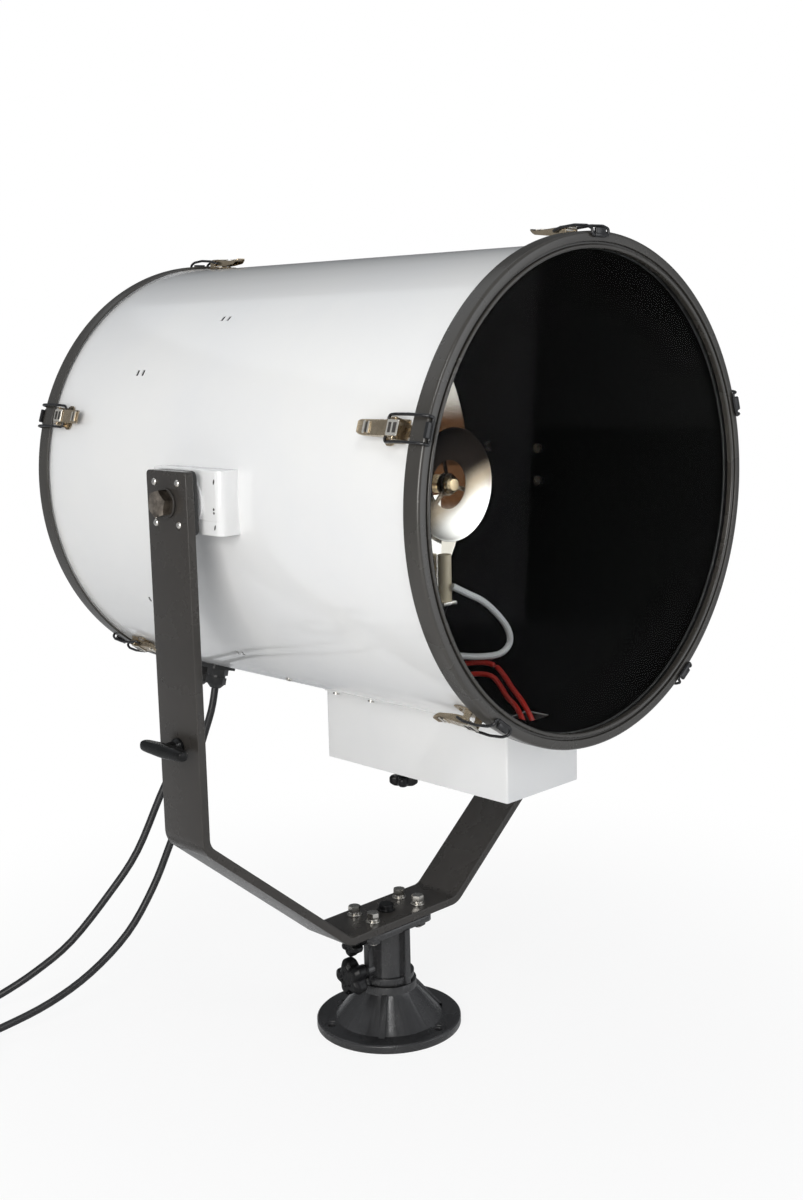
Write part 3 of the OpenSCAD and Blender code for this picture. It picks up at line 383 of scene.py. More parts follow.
def eased(node, width, material, body, segments=2, reshape=None):
    """A copy of a solid's mesh: loose triangles merged, flat faces joined, its points moved by the reshaping
    if there is one, and every edge above 28 degrees rounded by a bevel of the given width in millimetres."""
    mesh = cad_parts[node].data.copy()
    mesh.materials.clear()
    mesh.materials.append(material)
    work = bmesh.new()
    work.from_mesh(mesh)
    bmesh.ops.remove_doubles(work, verts=work.verts, dist=1e-6)
    bmesh.ops.dissolve_limit(work, angle_limit=radians(1.0), verts=work.verts, edges=work.edges)
    work.to_mesh(mesh)
    work.free()
    if reshape:
        points = np.empty(3 * len(mesh.vertices))
        mesh.vertices.foreach_get("co", points)
        mesh.vertices.foreach_set("co", (reshape(points.reshape(-1, 3) / MM) * MM).ravel())
    mesh.polygons.foreach_set("use_smooth", np.ones(len(mesh.polygons), bool))
    mesh.polygons.foreach_set("material_index", np.zeros(len(mesh.polygons), np.int32))
    made = add_object(node + "_rounded", mesh)
    rounding = made.modifiers.new("rounding", "BEVEL")
    rounding.width, rounding.segments = width * MM, segments
    rounding.limit_method, rounding.angle_limit = "ANGLE", radians(28.0)
    rounding.harden_normals = True
    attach(made, body)
    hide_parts(node)


def dress(material, *names):
    """Gives CAD nodes whose shape is right their finish."""
    for n in names:
        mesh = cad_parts[n].data
        mesh.materials.clear()
        mesh.materials.append(material)


eased("base_casting", 1.6, grey_cast, "base")
dress(turned_steel, "pan_spindle")
dress(washer_nylon, "thrust_washer")

# Pedestal post: a second casting in the same paint turns on the spindle in a bronze bush. Its top flange
# takes the yoke's bolts and its bosses the two clamp screws.
bush_bronze = metal("bush_bronze", (0.5, 0.3, 0.13), (0.42, 0.25, 0.1), 0.3, 0.15, 700, 40, 0.1)
eased("pedestal_post", 1.4, grey_cast, "yoke")
dress(bush_bronze, "pan_bush", "trunnion_bushes")

# Clamp knobs: moulded black five-lobed knobs on steel studs. The large one locks the pan, the small one sets
# its drag, and a third holds the ignitor box shut.
knob_black = surface("knob_black", 0.004, (0.007, 0.007, 0.008), 0.24, 0.12,
    500, 30, 0.12, Specular_IOR_Level=0.25)
lobes, lobe_depth, stud_r = 5, 0.3, 5


def moved(part, origin, x=(1, 0, 0), y=(0, 1, 0), z=(0, 0, 1)):
    """A part carried into a frame of three axes at an origin."""
    return np.asarray(origin, float) + np.asarray(part[0], float) @ np.array([x, y, z], float), part[1]


def lathe(profile, sides, closed=False, outline=None):
    """A profile of (radius, height) turned about z. An outline multiplies the radius at each angle."""
    profile = np.asarray(profile, float)
    turn = angles(sides)
    r = profile[:, :1] * (1 if outline is None else outline(turn))
    return grid(columns(r * np.cos(turn), r * np.sin(turn), profile[:, 1:]), closed, True)


def rounded(corners, radii, steps=6, closed=True):
    """A polyline whose corners are replaced by arcs tangent to both edges, of the given radii."""
    c = np.asarray(corners, float)
    radii = np.broadcast_to(np.asarray(radii, float), len(c))
    out = []
    for k in range(len(c)):
        if radii[k] <= 0 or (not closed and k in (0, len(c) - 1)):
            out.append(c[k:k + 1])
            continue
        a, b = c[k - 1] - c[k], c[(k + 1) % len(c)] - c[k]
        la, lb = norm(a), norm(b)
        a, b = a / la, b / lb
        half = acos(float(np.clip(a.dot(b), -1, 1))) / 2
        back_by = min(radii[k] / tan(half), 0.499 * la, 0.499 * lb)
        r = back_by * tan(half)
        mid = c[k] + (a + b) / norm(a + b) * r / sin(half)
        p, q = c[k] + a * back_by - mid, c[k] + b * back_by - mid
        w = np.linspace(0, 1, steps + 1)[:, None]
        span = acos(float(np.clip(p.dot(q) / (norm(p) * norm(q)), -1, 1)))
        if span < 1e-6:
            out.append(c[k:k + 1])
            continue
        out.append(mid + (np.sin((1 - w) * span) * p + np.sin(w * span) * q) / sin(span))
    return np.concatenate(out)


def turned(corners, radii, sides, steps=6):
    """An open profile with rounded corners, turned about z."""
    return lathe(rounded(corners, radii, steps, closed=False), sides)


def ring_of(r_in, r_out, low, high, radii, steps, sides):
    """A ring of oblong section with its four corners rounded."""
    corners = [[r_in, low], [r_out, low], [r_out, high], [r_in, high]]
    return lathe(rounded(corners, radii, steps), sides, closed=True)


def lobed(a):
    """Radius factor of a lobed rim: full on the lobes, drawn in on a rounded wave between them."""
    return 1 - lobe_depth * (0.5 - 0.5 * np.cos(lobes * a)) ** 1.4


def star_knob(name, node, origin, axis, across, r, t, stem, stud, body):
    """Lobed cap with a rounded rim and a dished top, on a tapering stem, and its steel stud."""
    axes = np.array(across, float), np.cross(np.array(axis, float), np.array(across, float)), axis
    cap = rounded([[0, 0], [0.86 * r, 0], [r, 0.2 * t], [r, 0.72 * t], [0.72 * r, t], [0.44 * r, t],
        [0.4 * r, 0.93 * t], [0, 0.93 * t]], [0, 3, 4, 0.2 * r, 0.25 * r, 1, 1, 0], 8, closed=False)
    neck = turned([[0, -stem], [0.4 * r, -stem], [0.4 * r, -0.3 * stem], [0.55 * r, 1]],
        [0, 0.8, 2, 0], 48, 5)
    rod = turned([[0, -stem - stud], [stud_r, -stem - stud], [stud_r, -stem + 1], [0, -stem + 1]],
        [0, 0.6, 0, 0], 32, 3)
    grip_parts = [moved(p, origin, *axes) for p in (lathe(cap, 120, outline=lobed), neck)]
    piece(name, grip_parts, knob_black, body, node)
    piece(name + "_stud", [moved(rod, origin, *axes)], turned_steel, body)


star_knob("pan_lock_grip", "pan_lock_knob", (-60.3, 0, 91), (-1, 0, 0), (0, 0.31, 0.95), 28, 22, 14, 27.3,
    "pan_lock")
star_knob("pan_drag_grip", "pan_drag_knob", (-60.3, 0, 139), (-1, 0, 0), (0, -0.6, 0.8), 17, 18, 14, 27.3,
    "pan_drag")

# Yoke: one flat steel bar, 80 by 12, bent at four places and powder coated in a warm dark grey. It is bolted
# to the post by four M12 bolts with washers; a black cap closes the spindle's hole.
grey_coat = surface("grey_powder_coat", (0.033, 0.030, 0.027), (0.038, 0.0345, 0.031), 0.26, 0.03,
    800, 14, 0.07, 0.0004, Specular_IOR_Level=0.45)
zinc_steel = metal("zinc_steel", (0.66, 0.64, 0.6), (0.52, 0.5, 0.46), 0.18, 0.18,
    700, 60, 0.1, depth=0.0003)
bar_w, bar_t, bend_mid, bar_edge, end_round = 80.0, 12.0, 26.0, 1.8, 6.0
bar_slope, plate_half, plate_z, arm_in = radians(39.6), 106.0, 159.0, 338.0
bar_mid_z, plate_top = plate_z + bar_t / 2, plate_z + bar_t
arm_mid, arm_out, arm_top = arm_in + bar_t / 2, arm_in + bar_t, AXIS + 39.0
corner_z = bar_mid_z + (arm_mid - plate_half) * tan(bar_slope)
half_line = rounded([[0, bar_mid_z], [plate_half, bar_mid_z], [arm_mid, corner_z], [arm_mid, arm_top]],
    [0, bend_mid, bend_mid, 0], 14, closed=False)
top_run = arm_top - end_round * (1 - np.sin(np.linspace(0, np.pi / 2, 8)))[:-1]
half_line = np.concatenate([half_line[:-1], columns(arm_mid, top_run), half_line[-1:]])
bar_line = np.concatenate([half_line[:0:-1] * [-1, 1], half_line])
bar_dir = np.gradient(bar_line, axis=0)
bar_dir /= norm(bar_dir, axis=1, keepdims=True)
bar_out = columns(bar_dir[:, 1], -bar_dir[:, 0])
box_of = lambda w, l: [[-w / 2, -l / 2], [w / 2, -l / 2], [w / 2, l / 2], [-w / 2, l / 2]]
section = rounded(box_of(bar_w, bar_t), bar_edge, 4)
from_end = np.clip(arm_top - bar_line[:, 1], 0, end_round)
corner_in = end_round - np.sqrt(np.maximum(end_round ** 2 - (end_round - from_end) ** 2, 0))
inset = np.where(np.abs(bar_line[:, 0]) > arm_in - 1, corner_in, 0)
wide = section[None, :, 0] - np.sign(section[None, :, 0]) * inset[:, None]
bar_rings = columns(bar_line[:, None, 0] + bar_out[:, None, 0] * section[None, :, 1], wide,
    bar_line[:, None, 1] + bar_out[:, None, 1] * section[None, :, 1])
bar = grid(bar_rings, close_v=True, caps=True)
piece("yoke_arms", [bar], grey_coat, "yoke", "yoke_bar")


def hexagon(r, h):
    """Hexagon head: flat sides at a radius that follows the angle, and a top chamfered by a cone, so the top
    edge falls where the corners stand out."""
    turn = angles(96)
    flat = r * cos(pi / 6)
    rim = flat / np.cos((turn + np.pi / 6) % (np.pi / 3) - np.pi / 6)
    fall = (rim - flat * 0.97) * 0.45
    steps = (0, 0), (rim * 0.985, 0), (rim, 0.3), (rim, h - fall), (flat * 0.95, h), (0, h)
    rows = [columns(rr * np.cos(turn), rr * np.sin(turn), zz) for rr, zz in steps]
    return grid(np.stack(rows), close_v=True)


def outward(side):
    """Axes of a frame whose z points along the tilt axis, to the given side."""
    return (0, 1, 0), (0, 0, side), (side, 0, 0)


bolt_parts, nut_parts, screw_parts = [], [], []
washer_t, spring_t = 2.5, 3
washer = ring_of(6, 10.4, 0, washer_t, [0, 0.5, 0.7, 0], 3, 48)
spring = ring_of(6, 8.4, 0, spring_t, [0, 0.6, 0.6, 0], 3, 48)
shank = lathe([[0, -24], [5.4, -24], [6, -23], [6, 3], [0, 3]], 32)
for k, (bx, by) in enumerate([(-45, -19), (-45, 19), (45, -19), (45, 19)]):
    c, s = cos(0.3 + 1.7 * k), sin(0.3 + 1.7 * k)
    x, y, y_down = (c, s, 0), (-s, c, 0), (s, -c, 0)
    bolt_parts += [moved(washer, (bx, by, plate_top)), moved(spring, (bx, by, plate_top + washer_t)),
        moved(hexagon(9.0, 9), (bx, by, plate_top + washer_t + spring_t), x, y),
        moved(shank, (bx, by, plate_top - 10))]
    nut_parts.append(moved(hexagon(11, 10), (bx, by, plate_z - 9), x, y_down, (0, 0, -1)))
piece("yoke_plate_bolts", bolt_parts, zinc_steel, "yoke", sharp=28)
# The nuts under the plate take the dark cast paint, a painted shade where they sit under the plate.
piece("yoke_plate_nuts", nut_parts, grey_cast, "yoke", sharp=28)
dome = rounded([[0, 2.8], [3, 2.6], [4.6, 1.0], [4.6, 0], [0, 0]], [0, 4, 1.5, 0, 0], 6, closed=False)
screw_shank = lathe([[0, -25], [3.6, -25], [4, -24], [4, -1], [0, -1]], 24)
for side in (-1, 1):
    for sy in (-23, 23):
        for sz in (AXIS - 25, AXIS + 25):
            screw_parts += [moved(lathe(dome, 40), (side * arm_out, sy, sz), *outward(side)),
                moved(hexagon(7.5, 6), (side * (arm_in - 6), sy, sz), *outward(-side)),
                moved(screw_shank, (side * arm_out, sy, sz), *outward(side))]
piece("bearing_plate_screws", screw_parts, zinc_steel, "yoke", "yoke_fasteners", sharp=28)
cap_parts = [turned([[0, 10], [9, 10], [11, 8.5], [11, 2.5], [13, 2.5], [13, 0], [0, 0]],
    [0, 1, 1.5, 1, 0.8, 0.5, 0], 64, 5), lathe([[0, -10], [8, -10], [8, 0.5], [0, 0.5]], 40)]
piece("spindle_hole_cap", [moved(p, (0, 0, plate_top)) for p in cap_parts], knob_black, "yoke",
    "spindle_cap")

# Bearing plates and trunnion bolts: a black plastic plate inside each arm carries the bush. A large steel
# hexagon bolt with a washer runs through arm and bush into the drum's block, and is the tilt axle.
bearing_black = surface("bearing_black", 0.014, 0.022, 0.45, 0.15, 600, 30, 0.15)
# The tilt bolts' steel mixes near black and pale brown patches, a painted reflection of dark surroundings.
steel_painted_reflection = metal("steel_painted_reflection", (0.03, 0.026, 0.022), (0.74, 0.63, 0.52), 0.08, 0.06,
    900, 38, 0.06)
eased("bearing_plates", 0.8, bearing_black, "yoke")
axle_parts, axle_washers, axle_washer_t = [], [], 3
axle_shank = lathe([[0, -53], [9, -53], [10, -51.5], [10, 1], [0, 1]], 48)
axle_washer = ring_of(10, 18.4, 0, axle_washer_t, [0, 0.6, 0.9, 0], 4, 72)
for side in (-1, 1):
    at, axes = side * (arm_out + 0.3), ((0, 0.97, 0.24), (0, -0.24 * side, 0.97 * side), (side, 0, 0))
    axle_washers.append(moved(axle_washer, (at, 0, AXIS), *axes))
    axle_parts += [moved(hexagon(17.5, 13), (at + side * axle_washer_t, 0, AXIS), *axes),
        moved(axle_shank, (at, 0, AXIS), *axes)]
piece("tilt_axle_bolts", axle_parts, steel_painted_reflection, "head", "trunnion_bolts", sharp=28)
piece("tilt_axle_washers", axle_washers, grey_coat, "head")

# Tilt handle: a moulded black T-grip on a stud through the near arm. Its rounded bar swells at the middle,
# where a tapering neck stands it off the arm.
grip_half, grip_off = 42, 23.5
grip_u, grip_v = np.linspace(-np.pi / 2, np.pi / 2, 41), angles(40)
along = grip_half * np.sin(grip_u)
thin = np.cos(grip_u) ** 0.2
swell = 1 + 0.1 * np.exp(-(along / 15) ** 2)
power = lambda c: (np.sign(c) * np.abs(c) ** 0.75)[None]
grip = columns(along[:, None], (8.2 * thin * swell)[:, None] * power(np.sin(grip_v)),
    (8.4 * thin)[:, None] * power(np.cos(grip_v)) + grip_off)
handle_frame = (-350, 0, 489), (0, 1, 0), (0, 0, 1), (-1, 0, 0)
handle_neck = turned([[0, 0.3], [11.6, 0.3], [11.6, 4], [8.6, 9], [8.2, 20], [0, 22]],
    [0, 0.6, 2, 4, 1, 0], 56)
handle_stud = lathe([[0, -18], [4.5, -18], [5, -17], [5, 1], [0, 1]], 32)
handle_parts = [moved(p, *handle_frame) for p in (grid(grip, close_v=True), handle_neck)]
piece("tilt_handle_grip", handle_parts, knob_black, "tilt_handle", "t_handle")
piece("tilt_handle_stud", [moved(handle_stud, *handle_frame)], turned_steel, "tilt_handle")

# Drum shell: rolled aluminium sheet, glossy white outside and matt black inside, with pairs of short slots
# for the straps of the inner brackets and a small turned lip at each end.
drum_r, drum_in, drum_front, drum_rear, drum_sides = 295.0, 292.0, 367.0, 352.0, 288
coat_share, shine, inner_shine = 0.25, 0.5, 0.02
white_gloss = surface("white_gloss_paint", (0.80, 0.80, 0.79), (0.77, 0.775, 0.78), 0.10, 0.06,
    90, 5, 0.02, Coat_Weight=coat_share, Coat_Roughness=0.05)
shell_paint = white_gloss.copy()
shell_paint.name = "shell_paint"
shell_tree = shell_paint.node_tree
paint = next(n for n in shell_tree.nodes if n.type == "GROUP").outputs
off_axis, _, off_axis_out = node_group("beam_axis_distance", {}, {"Distance": "Float"})
where = add_node(off_axis, "TexCoord").outputs["Object"]
from_axis = add_node(off_axis, "VectorMath", {0: where, 1: (1, 0, 1), 2: (0, 0, -AXIS * MM)},
    operation="MULTIPLY_ADD")
off_by = add_node(off_axis, "VectorMath", {0: from_axis}, operation="LENGTH")
feed(off_axis, off_axis_out, {"Distance": off_by})
shell_reach = add_node(shell_tree, "Group", node_tree=off_axis)
inside = add_node(shell_tree, "Math", {0: shell_reach, 1: (drum_r - 1.2) * MM}, operation="LESS_THAN")
two_tone = add_node(shell_tree, "Mix", {
    "Factor": inside, "A": paint["Colour"], "B": (0.0012, 0.0012, 0.0012, 1)}, data_type="RGBA")
two_rough = add_node(shell_tree, "Mix", {"Factor": inside, "A": paint["Roughness"], "B": 0.8})
two_coat, two_gloss = (
    add_node(shell_tree, "Math", {0: inside, 1: within - outside, 2: outside}, operation="MULTIPLY_ADD")
    for outside, within in ((coat_share, 0.0), (shine, inner_shine)))
feed(shell_tree, shell_tree.nodes["Principled BSDF"], {"Base Color": two_tone, "Roughness": two_rough,
    "Coat Weight": two_coat, "Specular IOR Level": two_gloss})


def along_drum(part, shift=0.0, turn=1):
    """A part shifted along z, carried to the drum: x across, y up, z to the front, or back if turned."""
    points = (part[0] + [0, 0, shift]) * [1, 1, turn]
    return moved((points, part[1]), (0, 0, AXIS), (1, 0, 0), (0, 0, 1), (0, -1, 0))


def slotted_drum(r_out, r_in, ends, cuts, sides):
    """A rolled sheet with square-cornered cuts. Grid lines round it and along it pass through every cut's
    edges; the outer and inner skins leave the cells of the cuts out, and walls join the skins round the cuts
    and at both ends."""
    cuts = np.asarray(cuts, float)
    edges = np.unique(np.round(cuts[:, :2].ravel() % 360, 5))
    even = np.arange(sides) * 360.0 / sides
    apart = np.abs((even[:, None] - edges + 180) % 360 - 180).min(1)
    turn = np.sort(np.concatenate([even[apart > 0.35], edges]))
    reach = np.unique(np.concatenate([np.linspace(*ends, 15), cuts[:, 2:].ravel()]))
    nu, nv = len(turn), len(reach)
    mid_turn = (turn + (np.roll(turn, -1) - turn) % 360 / 2) % 360
    mid_reach = (reach[1:] + reach[:-1]) / 2
    solid = np.ones((nu, nv + 1), bool)
    solid[:, [0, -1]] = False
    for a0, a1, b0, b1 in cuts:
        within = (mid_turn - a0) % 360 < (a1 - a0) % 360
        solid[:, 1:-1] &= ~(within[:, None] & ((mid_reach > b0) & (mid_reach < b1))[None, :])
    a = np.radians(turn)[:, None]
    skins = [columns(r * np.cos(a), r * np.sin(a), reach).reshape(-1, 3) for r in (r_out, r_in)]
    at = lambda i, j, skin: skin * nu * nv + (i % nu) * nv + j
    i, j = np.nonzero(solid[:, 1:-1])
    quads = [columns(at(i, j, k), at(i + 1, j, k), at(i + 1, j + 1, k), at(i, j + 1, k)) for k in (0, 1)]
    i, j = np.nonzero(solid[:, 1:] != solid[:, :-1])
    quads.append(columns(at(i, j, 0), at(i + 1, j, 0), at(i + 1, j, 1), at(i, j, 1)))
    i, j = np.nonzero(solid[:, 1:-1] != np.roll(solid, 1, 0)[:, 1:-1])
    quads.append(columns(at(i, j, 0), at(i, j + 1, 0), at(i, j + 1, 1), at(i, j, 1)))
    used, new = np.unique(np.concatenate(quads), return_inverse=True)
    return np.concatenate(skins)[used], new.reshape(-1, 4).tolist()


slot_half_deg, slot_half_w, slot_pitch = degrees(4.2 / drum_r), 2.4, 12
shell_cuts = [
    [(a - slot_half_deg) % 360, (a + slot_half_deg) % 360, d - slot_half_w, d + slot_half_w]
    for back_by, turn in ((178, 31), (63, 48))
    for d in (-back_by - slot_pitch / 2, -back_by + slot_pitch / 2)
    for a in (turn, -turn, 180 - turn, 180 + turn)]
lead_hole = [268.0, 276.0, 242, 282]
lips = [ring_of(drum_r - 1, drum_r + 2.5, z, z + 2, 0, 1, drum_sides) for z in (-drum_rear, drum_front - 2)]
shell_skin = slotted_drum(drum_r, drum_in, (-drum_rear, drum_front), [*shell_cuts, lead_hole], drum_sides)
piece("drum_sheet", [along_drum(p) for p in (shell_skin, *lips)], shell_paint, "head",
    "drum_shell")

# Trunnion blocks: white painted castings with big rounded corners, screwed to the shell from inside, each
# with a grey hub that runs against the bearing plate. Slotted screw heads show on their faces, their slots
# and two dots beside them as small dark marks of painted shade, and two more heads under the drum.
hub_grey = surface("hub_grey", (0.42, 0.43, 0.46), (0.36, 0.37, 0.4), 0.3, 0.12, 500, 30, 0.1)
# A flat near black: painted shade where slots, dots and openings are not cut.
painted_shade_dark = surface("painted_shade_dark", (0.02, 0.018, 0.016), (0.05, 0.045, 0.04), 0.6, 0.1, 600, 60, 0.1, 0.0002)
eased("trunnion_blocks", 2.2, white_gloss, "head", segments=3)
block_face = 321.7
hub_parts, mark_parts = [], []
hub_shape = rounded([[14, 0.05], [22.4, 0.05], [22.4, 7.5], [20.4, 7.5], [20.4, 9.6], [14, 9.6]],
    [0, 0.5, 1, 0.6, 0.8, 0], 4)
hub = lathe(hub_shape, 80, closed=True)
rim = angles(24)
for side in (-1, 1):
    hub_parts.append(moved(hub, (side * block_face, 0, AXIS), *outward(side)))
    mark_x = side * (block_face - 0.02)
    mark_axes = (0, -0.28, 0.96), (0, 0.96 * side, 0.28 * side), (side, 0, 0)
    for half_l, half_w, places in ((3.4, 1.3, ((57, 26), (56, -29))), (1.6, 1.6, ((55, -7), (55, -11.5)))):
        ring = columns(half_l * np.cos(rim), half_w * np.sin(rim), 0.0)
        rows = np.stack([ring, ring * [0.96, 0.9, 1] + [0, 0, 0.25], ring * 0.0 + [0, 0, 0.12]])
        mark = grid(rows, close_v=True)
        mark_parts += [moved(mark, (mark_x, end * dy, AXIS + dz), *mark_axes)
            for end in (-1, 1) for dy, dz in places]
piece("trunnion_hub_rings", hub_parts, hub_grey, "head")
piece("trunnion_block_slots", mark_parts, painted_shade_dark, "head")
dress(zinc_steel, "drum_screws")
under_heads = []
for c, s in ((cos(a), sin(a)) for a in np.radians([243.0, 297.0])):
    head = moved(lathe(dome, 32), (drum_r * c, drum_r * s, -40), (0, 0, 1), (-s, c, 0), (c, s, 0))
    under_heads.append(along_drum(head))
piece("drum_floor_screws", under_heads, zinc_steel, "head")

# Bezel and rear ring: spun aluminium rings in the dark grey coat. Each has a plain skirt over the drum's
# lip, a rounded shoulder, a groove and a bead round its opening, and clamps a rubber seal.
grey_ring = surface("grey_ring_coat", (0.036, 0.033, 0.029), (0.044, 0.041, 0.036), 0.22, 0.1,
    700, 10, 0.12, Specular_IOR_Level=0.6)
seal_rubber = surface("seal_rubber", 0.012, 0.02, 0.5, 0.15, 700, 40, 0.1)
ring_in, bezel_r, rear_r = drum_r - 8, drum_r + 12, drum_r + 6
for name, node, r_out, face, stack, drum_end, turn in (
        ("front_bezel_ring", "front_bezel", bezel_r, 8.0, 8.0, drum_front, 1),
        ("rear_clamp_ring", "rear_ring", rear_r, 10.0, 7.0, drum_rear, -1)):
    # section from the skirt's lower edge round the shoulder, groove and bead to the seat
    profile = rounded([[r_out - 3, -stack - 7], [r_out, -stack - 7], [r_out, face], [ring_in + 8, face],
        [ring_in + 8, face / 2], [ring_in + 5, face / 2], [ring_in + 5, face], [ring_in, face], [ring_in, 0],
        [r_out - 3, 0]], [0.8, 0.8, 4, 1.2, 0.7, 0.7, 2.4, 2.4, 0.8, 0.4], 7)
    ring = along_drum(lathe(profile, drum_sides, closed=True), drum_end + stack, turn)
    piece(name, [ring], grey_ring, "head", node)
dress(seal_rubber, "ring_seals")

# Front glass: a flat disc of toughened glass, 5 mm thick, with a ground edge, held between the rubber seal
# and the bezel. Its index is set low, since the photograph's pane shows hardly any reflection.
glass_r, glass_t, seal_t = drum_r + 1, 5, 3


def clear_finish(name, colour, index):
    """Clear glass. Light that only passes through, to shade or brighten what is behind, goes straight on."""
    mat, tree, shader = new_finish(name, Base_Color=colour, Roughness=0.0, IOR=index,
        Transmission_Weight=1.0)
    path = add_node(tree, "LightPath").outputs
    either = add_node(tree, "Math", {0: path["Is Shadow Ray"], 1: path["Is Diffuse Ray"]},
        operation="MAXIMUM")
    clear = add_node(tree, "BsdfTransparent", {"Color": (0.94, 0.95, 0.95, 1)})
    mix = add_node(tree, "MixShader", {"Fac": either, 1: shader, 2: clear})
    feed(tree, tree.nodes["Material Output"], {"Surface": mix})
    return mat


clear_glass = clear_finish("front_glass_clear", (0.97, 0.985, 0.98), 1.06)
pane = turned([[0, 0], [glass_r - 3, 0], [glass_r, 0], [glass_r, glass_t], [glass_r - 3, glass_t],
    [0, glass_t]], [0, 0, 0.8, 0.8, 0, 0], 256, 3)
piece("front_glass_pane", [along_drum(pane, drum_front + seal_t)], clear_glass, "head",
    "front_glass", sharp=20)

# Rear cover: a dished white sheet behind the reflector, stiffened by a pressed groove. The rear ring clamps
# its flat rim on the seal.
cover_r, dish_rise, cover_t, groove_w = ring_in - 4, 16.0, 4.0, 7
crown = (cover_r ** 2 + dish_rise ** 2) / (2 * dish_rise)
dish_r = cover_r * np.linspace(0, 1, 90)
pressed = 1.8 * np.exp(-((dish_r - 0.72 * cover_r) / groove_w) ** 2)
dish_z = dish_rise - crown + np.sqrt(crown ** 2 - dish_r ** 2) - pressed
rim_line = [[cover_r + 3, cover_t], [glass_r, cover_t], [glass_r, 0.0], [cover_r - 1, 0.0]]
under = columns(dish_r * 0.995, dish_z)[::-1]
cover = lathe(np.concatenate([columns(dish_r, dish_z + cover_t), rim_line, under]), 192)
piece("rear_cover_dish", [along_drum(cover, drum_rear + seal_t, -1)], white_gloss, "head",
    "rear_cover")

# Toggle latches: five on each ring. A pressed stainless seat is riveted to the drum; a folded lever pivots
# in its ears, and a black wire bail from the lever hooks over the ring's face.
# The latch steel's warm gold-brown colour is a painted warm reflection over the grey stainless.
latch_steel_warm_reflection = metal("latch_stainless_warm_reflection", (0.52, 0.43, 0.31), (0.36, 0.295, 0.21), 0.2, 0.14,
    800, 70, 0.12, depth=0.0003)
# A lighter copy of the latch steel: painted highlight on the lever's bands, knuckle frame and rods.
painted_highlight_steel = metal("latch_painted_highlight", (0.95, 0.91, 0.83), (0.86, 0.81, 0.72), 0.26, 0.1,
    800, 70, 0.1, depth=0.0003)
wire_black = surface("bail_black", (0.008, 0.008, 0.009), (0.014, 0.014, 0.015), 0.16, 0.1,
    800, 60, 0.08, 0.0002)
latch_n, latch_first, latch_step = 5, 18, 72
lever_tip, lever_root, lever_t, pivot_back, pin_up = -53.0, 3.5, 1.1, 45.0, 3.15
OUT, ACROSS, AHEAD = (1, 0, 0), (0, 1, 0), (0, 0, 1)
# lever sheet: a U section whose flanges deepen towards the pin, along a handle with a lifted tip
t_line = np.concatenate([np.linspace(lever_root, -24, 16), np.linspace(-26, lever_tip + 9, 10),
    np.linspace(lever_tip + 7.5, lever_tip, 6)])
top_o = np.interp(t_line, [lever_tip, lever_tip + 8, lever_root], [2.2, 1.1, 4.0]) + 0.5
top_o += np.where(t_line < lever_tip + 11, 1.8 * ((lever_tip + 11 - t_line) / 11) ** 2, 0)
flange = np.interp(t_line, [lever_tip, lever_tip + 9, -26, -18, -8, lever_root],
    [1.2, 4.5, 7.6, 8.6, 8.8, 7.6])
half_w = np.interp(t_line, [lever_tip, lever_tip + 2, lever_tip + 6, lever_root], [6.4, 8.2, 9.0, 9.0])
v = np.linspace(-1, 1, 23)
flat_to, bent_to, bend_share = 0.62, 0.78, 0.12
bend = np.clip((np.abs(v) - flat_to) / 0.16, 0, 1)
drop = np.where(np.abs(v) > bent_to, (np.abs(v) - bent_to) / 0.22, 0)
flat_part = np.sign(v) * np.minimum(np.abs(v) / flat_to, 1) * (1 - bend_share)
lever_a = half_w[:, None] * (flat_part + np.sign(v) * bend_share * np.sin(bend * np.pi / 2))[None]
fold = lever_t * (1 - np.cos(bend * np.pi / 2))
lever_o = top_o[:, None] - fold[None] - (flange - 1.0)[:, None] * drop[None]
lever_sheet = columns(lever_o, lever_a, t_line[:, None])
lever_low = lever_sheet.copy()
lever_low[:, :, 0] -= lever_t * (1 - drop)[None]
lever_low[:, :, 1] *= np.where(drop > 0, 1 - 1.15 / 9.0, 1 - bend_share * bend)[None]
lever_points, lever_faces = grid(np.concatenate([lever_sheet, lever_low[::-1]]), close_u=True)
n_v, n_u = len(v), len(t_line)
lever_faces += [
    [k * n_v + j, (k + 1) * n_v + j, (2 * n_u - 2 - k) * n_v + j, (2 * n_u - 1 - k) * n_v + j]
    for j in (0, n_v - 1) for k in range(n_u - 1)]


def cross_bar(o, t, r, half, ends=0.5):
    """A short round bar across a latch, with rounded ends."""
    bar = turned([[0, -half], [r, -half], [r, half], [0, half]], [0, ends, ends, 0], 20, 3)
    return moved(bar, (o, 0, t), OUT, AHEAD, ACROSS)


def slab(corners, h, r, origin, x=ACROSS, y=AHEAD, z=OUT, soft=0.4):
    """A flat plate from a rounded outline, its edges eased top and bottom."""
    outline = rounded(corners, r, 4)
    mid = outline.mean(0)
    grow = outline - mid
    inner = mid + grow * (1 - soft / norm(grow, axis=1, keepdims=True))
    flat = np.ones((len(outline), 1))
    levels = (inner, 0), (outline, soft), (outline, h - soft), (inner, h)
    rows = [np.hstack([plan, z_at * flat]) for plan, z_at in levels]
    return moved(grid(np.stack(rows), close_v=True, caps=True), origin, x, y, z)


